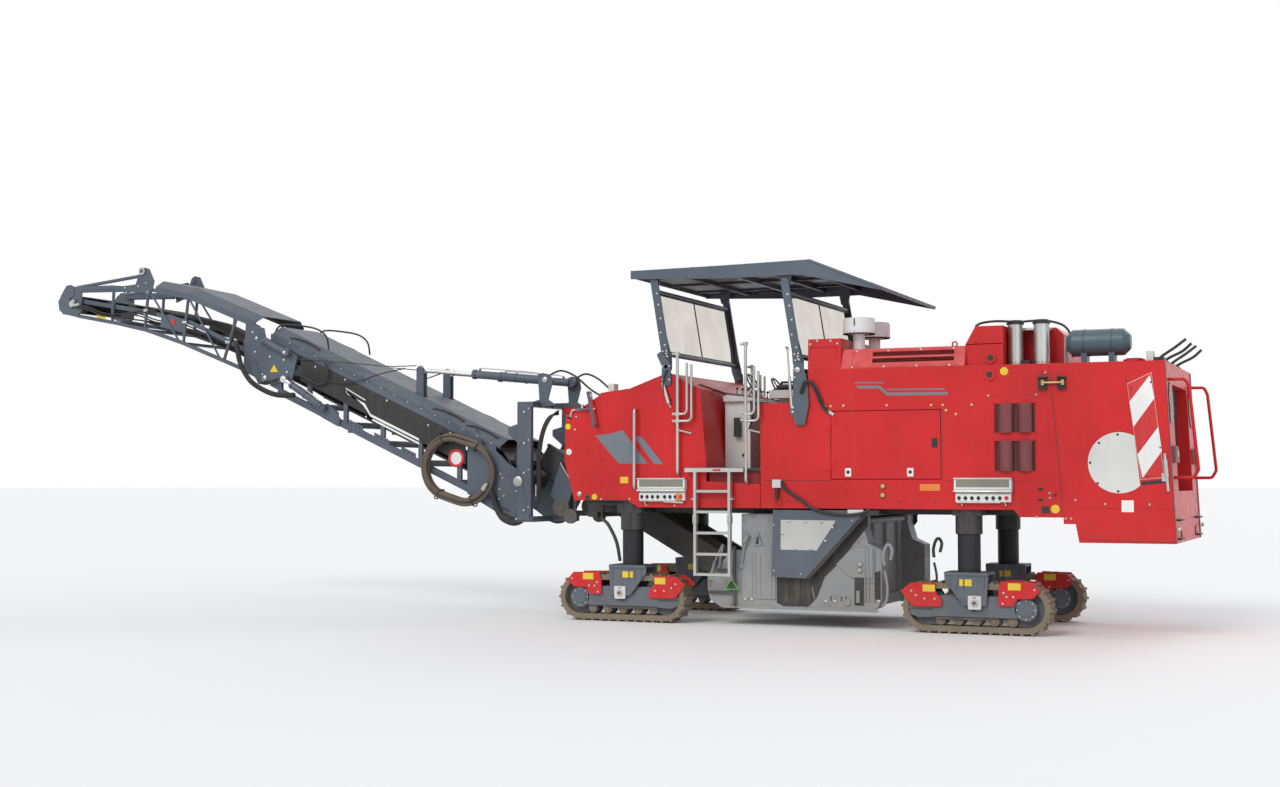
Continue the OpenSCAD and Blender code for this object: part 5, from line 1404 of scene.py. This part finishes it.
def canopy_details():
    """Bolts, rims and plates on the canopy's arms, mounts and roof."""
    for body, pivot in ARM_PIVOTS:
        bolts, rims, plates = forms(3)
        for side in SIDES:
            y = ARM_OUTSIDE
            for up in (120, 150, 250, 400, 560, 720, 850):
                x, z = on_arm(pivot, 12 if up % 100 else -14, up)
                bolts.dome((x, side * y, z), (0, side, 0), 13, 9)
            outline = [on_arm(pivot, a, b) for a, b in ((-42, -42), (42, -42), (66, 90), (44, 330),
                                                        (-44, 330), (-66, 90))]
            plates.prism(outline, (side * (y - 26), side * (y - 34)))
            for k in range(2):
                for up in (40, 110, 180):
                    x, z = on_arm(pivot, -22 + 44 * k, up)
                    bolts.dome((x, side * y, z), (0, side, 0), 12, 9)
        for bottom, top in ((168, 188), (842, 862)):
            rims.prism(bar_on_arm(pivot, 9, bottom, top), (-SCREEN_HALF_W, SCREEN_HALF_W))
        for side in SIDES:
            rims.prism(bar_on_arm(pivot, 9, 168, 862), (side * (SCREEN_HALF_W + 0.5),
                                                        side * (SCREEN_HALF_W - 21)))
            rims.prism(bar_on_arm(pivot, 7, 180, 850), (side * 6, side * 0.5))
        bolts.done(body + "_bolts", BOLT, body, smooth=True)
        rims.done(body + "_screen_rims", BLACK, body, bevel=2)
        plates.done(body + "_plates", GREY, body, bevel=3)

    bolts, plates, hoses, strut = forms(4)
    for side in SIDES:
        wall = from_face(side)
        y = wall(22)
        side_bolts(bolts, ((2110, 2830), (2208, 2835), (2120, 2740), (2200, 2745), (2130, 2640),
                           (2205, 2600), (2190, 2480), (2150, 2380), (2220, 2300), (2140, 2250),
                           (545, 2905), (625, 2905), (545, 2750), (625, 2750)), side, 13, 9, BODY_W + 22)
        plates.prism([(2110, 2900), (2215, 2900), (2268, 2690), (2285, 2450), (2240, 2217), (2154, 2215),
                      (2060, 2360), (2140, 2700)], (y, y + side * 10))
        bolts.dome((2159, y + side * 10, 2822), (0, side, 0), 32, 22, 20)
        bolts.dome((2100, y + side * 10, 2360), (0, side, 0), 17, 14)
        strut.rod((2040, wall(30), 3060), (2086, wall(30), 2420), 11, 14)
        strut.rod((2062, wall(30), 2750), (2086, wall(30), 2420), 17, 16)
        strut.rod((2030, wall(18), 3068), (2050, wall(44), 3056), 18, 14)
        strut.rod((2070, wall(), 2412), (2100, wall(44), 2412), 16, 14)
        for shift in (0, 26):
            hoses.tube([(x + shift, wall(out), z) for x, out, z in CANOPY_HOSE], 12)
        bolts.rod((2490, wall(2), 2370), (2560, wall(2), 2320), 22, 12)
        # Fold cylinder and locks at the front arm
        strut.rod((545, wall(26), 2720), (620, wall(30), 2480), 22, 16)
        strut.rod((620, wall(30), 2480), (640, wall(6), 2440), 14, 14)
        plates.prism([(470, 3040), (520, 3075), (620, 2960), (640, 2860), (560, 2850)], (y, y + side * 8))
        hoses.tube([(600, wall(40), 2860), (560, wall(44), 2740), (575, wall(40), 2600),
                    (640, wall(20), 2520)], 9)
    bolts.done("canopy_mount_bolts", BOLT, smooth=True)
    plates.done("canopy_mount_plates", GREY, bevel=3)
    strut.done("canopy_struts", STEEL, smooth=True)
    hoses.done("canopy_hoses", RUBBER, smooth=True)

    # Ribs, lining and lamp boxes of the roof, seen from below
    ribs, lining, edge = forms(3)
    for y in (-760, 0, 760):
        ribs.box((200, y - 20, 3950), (2180, y + 20, 3984))
    for x in (720, 1700, 2140):
        ribs.box((x, -1120, 3930), (x + 40, 1120, 3986))
    lining.box((200, -1110, 3972), (1240, 1110, 3979))
    for side in SIDES:
        edge.prism([(2275, 4037), (2300, 4037), (3115, 3697), (3104, 3668)],
                   (side * (ROOF_W + 1), side * (ROOF_W - 4)))
        edge.rod((2282, side * ROOF_W, 4025), (3100, side * ROOF_W, 3680), 9, 10)
        ribs.box((900, side * 1000, 3945), (1120, side * 1080, 3975))
    # Lap seams and rivets on the top sheets
    seams, rivets = forms(2)
    for y in (-580, 0, 580):
        seams.prism([(150, 4015), (1270, 4022), (2280, 4036), (2280, 4041), (1270, 4027), (150, 4020)],
                    (y - 16, y + 16))
        seams.prism([(2284, 4035), (3104, 3692), (3106, 3697), (2286, 4040)], (y - 16, y + 16))
    for y in (-1130, -560, 20, 600, 1130):
        for k in range(10):
            rivets.dome((200 + 228 * k, y, 4015.3 + 2.1 * k), (0, 0, 1), 9, 7)
        for k in range(4):
            rivets.dome((2400 + 200 * k, y, 3986.6 - 83.7 * k), (0.386, 0, 0.922), 9, 7)
    seams.done("roof_seams", GREY, "roof_body", bevel=1.5)
    rivets.done("roof_rivets", BOLT, "roof_body", smooth=True)
    ribs.done("roof_ribs", DARK, "roof_body", bevel=2)
    lining.done("roof_lining", BLACK, "roof_body")
    edge.done("roof_edges", GREY, "roof_body")


# Mast, boom and upper section

MIRROR_X = -330
MIRROR_Y = 1204
MIRROR_Z = 2430
MIRROR_TALL = 190
MIRROR_WIDE = 36
MIRROR_TILT = math.radians(12)


def mast_details():
    """Plates and hoses of the mast, the mirrors, and the loading conveyor's head."""
    grey, steel, hose, bolts = forms(4)
    for side in SIDES:
        y = side * 630
        for z in (1250, 1700, 2060, 2440):
            bolts.dome(ahead(320, z, y), (0, side, 0), 15, 10)
            bolts.dome(ahead(260, z + 40, y), (0, side, 0), 11, 8)
        grey.box(ahead(238, 1130, side * 575), ahead(402, 1200, side * 640))
        grey.prism(all_ahead(((418, 2300), (560, 2260), (560, 2180), (418, 2060))), (side * 592, side * 600))
        bolts.dome(ahead(400, 1600, side * 630), (0, side, 0), 62, 20, 24)
        bolts.dome(ahead(150, 2840, side * 415), (0, side, 0), 36, 16, 20)
        # Hoses that run up the post's inner side
        for k in range(3):
            hose.tube(path_ahead([(196 - 18 * k, 1260 + 30 * k, 560), (170 - 18 * k, 1500, 560),
                                  (172 - 18 * k, 1900, 560), (128 - 18 * k, 2200, 540),
                                  (60 - 18 * k, 2380, 480), (-20, 2420 + 20 * k, 380)], side), 13)
        hose.tube(path_ahead([(100, 2905, 360), (-40, 2950, 350), (-220, 2880, 330), (-420, 2720, 330),
                              (-560, 2640, 340)], side), 12)
        steel.rod(ahead(150, 1560, side * 640), ahead(150, 1420, side * 640), 10, 12)
        # Mirror arms with their clamps
        steel.rod((-600, side * 1168, 2425), (-300, side * 1175, 2440), 11, 14)
        steel.rod((-600, side * 1168, 2425), (-640, side * 1150, 2350), 13, 14)
        steel.rod((-470, side * 1172, 2432), (-470, side * 1172, 2490), 18, 14)
    grey.done("mast_plates", GREY, "mast_body", bevel=3)
    bolts.done("mast_bolts", BOLT, "mast_body", smooth=True)
    hose.done("mast_hoses", RUBBER, "mast_body", smooth=True)
    steel.done("mirror_arms", STEEL, smooth=True)
    faces = Form()
    for side in SIDES:
        points = []
        for x_out in (12, 17):
            for a in around(24):
                up = MIRROR_TALL * math.sin(a)
                y = side * (MIRROR_Y + MIRROR_WIDE * math.cos(a))
                points.append((MIRROR_X + x_out - up * math.sin(MIRROR_TILT), y, MIRROR_Z + up))
        faces.add(points, end_faces(2, 24) + bands(2, 24))
    faces.done("mirror_faces", MIRROR, smooth=True)

    # Loading conveyor's head, with its drum, motor and spill plates
    plates, parts, pale = forms(3)
    for side in SIDES:
        plates.prism([(-1136, 1828), (-953, 1541), (-1060, 1260), (-1280, 1423)], (side * 400, side * 412))
        pale.rod((-1136, side * 414, 1828), (-953, side * 414, 1541), 9, 8)
        parts.rod((-1130, side * 380, 1290), (-1130, side * 415, 1290), 110, 30)
        parts.rod((-1130, side * 415, 1290), (-1130, side * 422, 1290), 60, 24)
        parts.rod((-1000, side * 380, 1180), (-1000, side * 420, 1180), 90, 26)
    plates.done("loading_head_plates", GREY, bevel=2)
    parts.done("loading_head_drums", DRUM, bevel=3)
    pale.done("loading_head_edges", ZINC)


BOOM_SLOPE = math.tan(math.radians(24))
# Height of the boom's lower and upper edge at one reach
BOOM_AT = 3006
BOOM_LOW_AT = 2290
BOOM_TOP_AT = 3035


def boom_low(r):
    """Height of the boom's lower edge at a reach."""
    return BOOM_LOW_AT + (r - BOOM_AT) * BOOM_SLOPE


def boom_top(r):
    """Height of the boom's upper edge at a reach."""
    return BOOM_TOP_AT + (r - BOOM_AT) * BOOM_SLOPE


def on_boom(r, up, y):
    """A place on the boom: reach, height over its lower edge, distance from the middle plane."""
    return ahead(r, boom_low(r) + up, y)


def along_boom(edge, start, end, bottom, top):
    """Outline of a strip that follows the boom's lower or upper edge."""
    return all_ahead([(r, edge(r) + up) for r, up in rect(start, bottom, end, top)])


def boom_details():
    """Marks, joints, hoses and brackets of the boom, and the cables to its fold."""
    grey, dark, white, red, steel, hose, rubber = forms(7)
    for side in SIDES:
        wall = from_face(side, BOOM_W)
        # Blank double stripe with a step on the side sheet
        band = [(2938, 2768), (2925, 2716), (2660, 2590), (2600, 2500), (2570, 2455), (1858, 2140),
                (1850, 2106), (2575, 2425), (2610, 2478), (2680, 2565), (2945, 2742)]
        white.prism(all_ahead(band), (wall(6), wall(7.5)))
        thin = [(2948, 2798), (2650, 2640), (2655, 2628), (2950, 2786)]
        white.prism(all_ahead(thin), (wall(6), wall(7.5)))
        low = [(2540, 2396), (1850, 2086), (1846, 2058), (2545, 2372)]
        white.prism(all_ahead(low), (wall(6), wall(7.5)))
        side_bolts(steel, all_ahead(((2330, 2620), (2640, 2420), (1720, 2300), (1400, 2200), (2960, 2900),
                                     (3420, 3080))), side, 14, 8, BOOM_W + 6)
        # Folded edge, joints and handles of the cover plates
        for r in (1404, 1824, 2345, 2700, 3446):
            dark.prism(along_boom(boom_top, r, r + 10, 2, 36), (wall(-2), wall(2)))
            section = ((BOOM_W - 2, 36), (BOOM_W - 130, 124), (BOOM_W - 132, 118), (BOOM_W - 2, 30))
            dark.slab([ahead(r + a, boom_top(r) + a * BOOM_SLOPE + up, side * y) for a in (0, 9)
                       for y, up in section])
        for r in (1000, 1480, 3640):
            z = boom_top(r)
            hose.tube(path_ahead([(r + 210, z + 92, 520), (r + 190, z + 150, 500), (r + 60, z + 128, 470),
                                  (r - 120, z + 60, 470), (r - 240, z - 10, 480)], side), 12)
        # Side lip of the cover, with bolts
        grey.prism(along_boom(boom_top, 700, 4090, -4, 12), (wall(-1), wall(10)))
        for k in range(16):
            r = 820 + 200 * k
            steel.dome(ahead(r, boom_top(r) + 4, wall(10)), (0, side, 0), 9, 6)
        # Lower brackets and holes of the chord
        grey.prism(all_ahead(((3296, 2440), (3170, 2566), (3016, 2414), (3040, 2298))), (wall(18), wall(26)))
        grey.box(on_boom(2915, -30, wall(-46)), on_boom(2860, 80, wall(6)))
        for r in (1900, 2300, 2689):
            grey.prism(along_boom(boom_low, r, r + 220, 60, 150), (wall(-8), wall(2)))
            for k in range(3):
                dark.rod(on_boom(r + 50 + 60 * k, 112, wall()), on_boom(r + 50 + 60 * k, 112, wall(3)),
                         11, 14)
        # Foot plate: slots, bolts and stiffener
        grey.prism(all_ahead(((729, 1729), (440, 1590), (376, 1370), (430, 1170), (599, 1140),
                              (717, 1283), (738, 1540))), (wall(), wall(10)))
        for r, z, w in ((600, 1260, 110), (560, 1180, 120)):
            dark.prism(all_ahead(((r + w / 2, z + 30), (r - w / 2, z - 20), (r - w / 2 + 6, z - 36),
                                  (r + w / 2 + 6, z + 14))), (wall(9), wall(11.5)))
        side_bolts(steel, all_ahead(((690, 1690), (660, 1640), (700, 1500), (710, 1380), (640, 1420),
                                     (470, 1480), (450, 1300))), side, 12, 8, BOOM_W + 10)
        # Black corrugated hose round the foot
        coil = [(356, 2067), (414, 1983), (423, 1847), (374, 1676), (316, 1507), (286, 1372), (295, 1236),
                (372, 1134), (487, 1099), (622, 1149), (701, 1250), (750, 1369), (800, 1480)]
        path = [ahead(r, z, wall(52)) for r, z in coil]
        hose.ribbed_hose(path, 34)
    # Skirt flap at the cover's low end
    rubber.prism(all_ahead(((700, 2010), (900, 2120), (1060, 2240), (900, 2130), (560, 1860), (560, 1800),
                            (700, 1860))), (-BOOM_W + 20, BOOM_W - 20))
    # Round red-ringed sign on the near side
    red.ring(ahead(1314, 1887, -(BOOM_W + 6)), (0, -1, 0), 112, 78, 4)
    white.rod(ahead(1314, 1887, -(BOOM_W + 5)), ahead(1314, 1887, -(BOOM_W + 8)), 80, 40)
    # Diagonal bar and small parts seen inside the coil
    grey.prism(all_ahead(((1700, 1790), (1176, 1520), (1160, 1470), (1690, 1730))),
               (-(BOOM_W - 10), -(BOOM_W + 2)))
    grey.prism(all_ahead(((900, 1760), (860, 1740), (1033, 1540), (1070, 1560))),
               (-(BOOM_W - 10), -(BOOM_W + 2)))
    grey.done("boom_plates", GREY, "boom", bevel=3)
    dark.done("boom_joints", BLACK, "boom")
    white.done("boom_white_marks", SIGN_WHITE, "boom")
    red.done("boom_round_sign", SIGN_RED, "boom")
    steel.done("boom_bolts", BOLT, "boom", smooth=True)
    hose.done("boom_hoses", RUBBER, "boom", smooth=True)
    rubber.done("boom_skirt", RUBBER, "boom")

    # Cables and hoses from the boom to the fold
    cables = Form()
    for side in SIDES:
        wall = from_face(side, BOOM_W)
        y = wall(-60)
        cables.tube(path_ahead([(3745, 3190, 560), (3253, 3150, 570), (2745, 3100, 560),
                                (2345, 3060, 500), (1951, 3060, 460)], side), 6, 8)
        cables.tube(path_ahead([(3648, 3095, 572), (3285, 2914, 578), (3030, 2865, 580),
                                (2727, 2879, 578), (2429, 2960, 560), (2109, 3030, 470)], side), 8, 8)
        cables.tube([ahead(4080, 3440, y), ahead(4100, 3560, y), ahead(3994, 3650, y), ahead(3706, 3628, y),
                     ahead(3446, 3575, y), ahead(3300, 3470, y), ahead(3260, 3300, y)], 12)
        cables.tube(path_ahead([(3253, 3124, 580), (3200, 3016, 585), (3225, 2888, 585),
                                (3352, 2848, 585), (3507, 2916, 585), (3663, 2985, 580)], side), 13)
    cables.done("boom_cables", RUBBER, "boom", smooth=True)


TIP_HOSE = [(7407, 4050, 16), (7222, 4018, 14), (6914, 3915, 12), (6612, 3895, 10), (6225, 3925, 8),
            (5989, 3880, -60), (5695, 3790, -60), (5405, 3680, -60), (4833, 3450, -60)]
TIP_COIL = [(4650, 3440, 60), (4593, 3357, 96), (4496, 3135, 146), (4333, 2912, 150), (4094, 2776, 150),
            (3883, 2717, 150), (3640, 2712, 150)]


def tip_details():
    """Bars, head plates, hoses and labels of the upper section."""
    grey, steel, hose, red, yellow, dark = forms(6)
    for side in SIDES:
        wall = from_face(side, BOOM_W)
        # Longitudinal bars from the eye plates to the head
        for a, b in (((6345, 4405), (7430, 4300)), ((6590, 4225), (7430, 4250))):
            grey.box(ahead(a[0], a[1], wall(-40)), ahead(a[0] + 1, a[1] + 1, wall(-39)))
            grey.rod(ahead(a[0], a[1], wall(-26)), ahead(b[0], b[1], wall(-26)), 24, 16)
        grey.prism(all_ahead(((6100, 4209), (6157, 4129), (6367, 4221), (6574, 4148), (6592, 4279),
                              (6368, 4292), (6300, 4330), (6160, 4330))), (wall(), wall(9)))
        side_bolts(steel, all_ahead(((6200, 4300), (6560, 4250), (6170, 4180), (6540, 4180),
                                     (6330, 4260))), side, 12, 8, BOOM_W + 9)
        steel.ring(ahead(6262, 4466, wall(20)), (0, side, 0), 52, 26, 8)
        # Head plate with its slot, the drive motor and its hoses
        grey.prism(all_ahead(((7457, 4310), (7520, 4340), (7600, 4330), (7700, 4190), (7735, 4110),
                              (7700, 3990), (7650, 3930), (7400, 3893), (7330, 3960), (7500, 4010),
                              (7540, 4150), (7470, 4180))), (wall(), wall(8)))
        dark.prism(all_ahead(((7565, 4160), (7520, 4160), (7505, 4020), (7560, 4000))), (wall(-2), wall(3)))
        steel.rod(ahead(7480, 4068, wall()), ahead(7480, 4068, wall(36)), 44, 24)
        steel.rod(ahead(7450, 4050, wall(22)), ahead(7340, 4060, wall(22)), 22, 16)
        steel.rod(ahead(7470, 4100, wall(26)), ahead(7420, 4112, wall(26)), 26, 16)
        for up in (0, 34):
            hose.tube([ahead(r, z - up, wall(out)) for r, z, out in TIP_HOSE], 10)
        # Silver clamps on the posts
        for r, z in ((6205, 3925), (5545, 3740), (4830, 3450)):
            steel.rod(ahead(r - 26, z, wall(-20)), ahead(r + 26, z, wall(6)), 24, 12)
        # Side plate with a round red mark, between two posts
        grey.prism(all_ahead(((5990, 3700), (5928, 3830), (5820, 3862), (5550, 3770), (5560, 3600))),
                   (wall(-38), wall(-30)))
        red.rod(ahead(5759, 3758, wall(-31)), ahead(5759, 3758, wall(-24)), 34, 24)
        # Yellow label under the head, blank triangle on the rocker plate
        yellow.prism(all_ahead(((7060, 3900), (6900, 3860), (6900, 3830), (7060, 3868))), (wall(), wall(3)))
        yellow.prism(all_ahead(((4053, 3125), (4118, 3030), (3990, 3027))), (wall(25), wall(28)))
        # Rocker plate's stiffeners, bolts and lower box
        grey.prism(all_ahead(((4357, 3216), (4409, 3013), (4328, 2940), (4250, 2890), (4200, 2900),
                              (4310, 3080))), (wall(26), wall(36)))
        dark.prism(all_ahead(((4330, 2885), (4200, 2862), (3990, 2900), (3940, 2960), (4120, 2920))),
                   (wall(20), wall(27)))
        side_bolts(steel, all_ahead(((4400, 3560), (4360, 3300), (4240, 3000), (4120, 3230), (3900, 3180),
                                     (3850, 3020), (4330, 3100))), side, 15, 10, BOOM_W + 26)
        steel.dome(ahead(4200, 2950, wall(30)), (0, side, 0), 36, 16, 20)
        for r, z in ((3830, 3268), (4270, 3470)):
            steel.dome(ahead(r, z, side * 660), (0, side, 0), 22, 12)
        for k in range(2):
            a = 0.22 + 0.5 * k
            p = Vector(ahead(3830 + 440 * a, 3268 + 202 * a, side * 620))
            d = Vector(ahead(4270, 3470, 0)) - Vector(ahead(3830, 3268, 0))
            grey.rod(p, p + d.normalized() * 16, 47, 24)
        # Grey corrugated hose from the rocker plate back under the boom
        hose.ribbed_hose([ahead(r, z, wall(out)) for r, z, out in TIP_COIL], 30)
    grey.done("tip_plates", GREY, "tip", bevel=3)
    steel.done("tip_steel_parts", STEEL, "tip", smooth=True)
    hose.done("tip_hoses", RUBBER, "tip", smooth=True)
    red.done("tip_red_marks", SIGN_RED, "tip")
    yellow.done("tip_yellow_labels", YELLOW, "tip")
    dark.done("tip_dark_parts", BLACK, "tip")


def along_cylinder(base, eye, y):
    """Gives places on a cylinder, by their distance from its base and height over its centre line."""
    length = math.dist(base, eye)

    def on(t, up=0):
        reach = base[0] + (eye[0] - base[0]) * t / length
        z = base[1] + (eye[1] - base[1]) * t / length + up
        return ahead(reach, z, y)

    return on


def cylinder_details():
    """Collars, ports and pipes of the lift and fold cylinders."""
    collars, pipes = forms(2)
    for side in SIDES:
        on = along_cylinder((150, 2840), (1950, 3010), side * 330)
        for t in (30, 430, 640, 1035):
            collars.rod(on(t), on(t + 18), 57, 28)
        collars.rod(on(1010), on(1050), 61, 28)
        for t in (120, 960):
            collars.rod(on(t), on(t, 74), 15, 14)
        pipes.tube([on(120, 72), on(200, 84), on(500, 84), on(900, 84), on(960, 72)], 8, 10)
    collars.done("lift_cylinder_collars", GREY, "lift_barrel", smooth=True)
    pipes.done("lift_cylinder_pipes", STEEL, "lift_barrel", smooth=True)
    collars, pipes = forms(2)
    for side in SIDES:
        on = along_cylinder((3255, 2548), (3854, 2927), side * 620)
        for t in (60, 300, 540):
            collars.rod(on(t), on(t + 22), 52, 28)
        pipes.tube([on(90, 52), on(150, 66), on(400, 66), on(520, 52)], 8, 10)
    collars.done("fold_cylinder_collars", GREY, "fold_barrel", smooth=True)
    pipes.done("fold_cylinder_pipes", STEEL, "fold_barrel", smooth=True)


# Hose hanked on the near side of the boom

HOSE_D = 56
HANK_CENTRE = (1250, 1745)
HANK_HALF = 110
HANK_TILT = math.radians(17)
HANK_FACE = BOOM_W + 6.3
TURN_STEPS = 36
# Radius of each turn's round ends and its distance out from the rubber sheet
HANK_TURNS = [(345, 30), (395, 65), (345, 100)]
SHIFT_FROM = 0.75


def hank_place(radius, out, share):
    """A point at a share of the way round one oval turn, beginning at its upper middle and going forward."""
    way_round = 4 * HANK_HALF + 2 * math.pi * radius
    (a, b), _ = on_oval(HANK_HALF, radius, (share * way_round + HANK_HALF) % way_round)
    reach = HANK_CENTRE[0] + a * math.cos(HANK_TILT) - b * math.sin(HANK_TILT)
    height = HANK_CENTRE[1] + a * math.sin(HANK_TILT) + b * math.cos(HANK_TILT)
    return Vector(ahead(reach, height, -(HANK_FACE + out)))


def hank_route():
    """Centre line of the hose: each turn moves over to the next one along its last quarter."""
    route = []
    for turn, (radius, out) in enumerate(HANK_TURNS):
        last = turn == len(HANK_TURNS) - 1
        after = HANK_TURNS[turn if last else turn + 1]
        for k in range(int(TURN_STEPS * (SHIFT_FROM if last else 1))):
            t = k / TURN_STEPS
            over = max(0.0, (t - SHIFT_FROM) / (1 - SHIFT_FROM))
            over = over * over * (3 - 2 * over)
            route.append(hank_place(radius + (after[0] - radius) * over, out + (after[1] - out) * over, t))
    return route


def hose_hank():
    """The water hose in its hank, the couplings on its two ends, and the straps that hold it."""
    route = hank_route()
    hose, ends, straps = forms(3)
    hose.tube(route, HOSE_D / 2, 16, 1)
    start, finish = route[0], route[-1]
    first, final = (route[0] - route[1]).normalized(), (route[-1] - route[-2]).normalized()
    ends.rod(start, start + first * 46, HOSE_D / 2 + 4, 20)
    ends.rod(finish - final * 60, finish + final * 8, HOSE_D / 2 + 4, 20)
    ends.rod(finish + final * 8, finish + final * 40, HOSE_D / 2 - 6, 20)
    for share in (0.12, 0.44, 0.62, 0.93):
        inner = hank_place(HANK_TURNS[0][0] - 34, 65, share)
        outer = hank_place(HANK_TURNS[1][0] + 32, 65, share)
        out = Vector((0, 58, 0))
        straps.tube([inner - out, inner + out, outer + out, outer - out, inner - out], 8, 8, 3)
    piece = hose.done("water_hose", HOSE, "boom", smooth=True)
    couplings = ends.done("hose_couplings", STEEL, "boom", smooth=True)
    straps.done("hose_straps", BLACK, "boom", smooth=True)
    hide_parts("hose_coil")


add_camera()
hose_hank()
add_stage()
add_soft_light("key", (-4000, -15000, 13000), (0, 0, 1500), 26, 1.15, (1.0, 0.98, 0.95))
add_soft_light("fill", (13000, -12000, 7000), (2000, 0, 1500), 33, 0.32, (0.95, 0.97, 1.0))
add_soft_light("back", (2000, 14000, 11000), (0, 0, 2000), 33, 0.52)
dress_nodes()

front_panel_marks()
control_panels()
engine_sides()
door_details()
filter_windows()
hood_details()
exhaust_and_tank()
rear_end()
skirt_hose()
entry_details()
operator_place()
cushions()
housing_details()
undercarriage_details()
legs()
canopy_details()
mast_details()
boom_details()
tip_details()
cylinder_details()
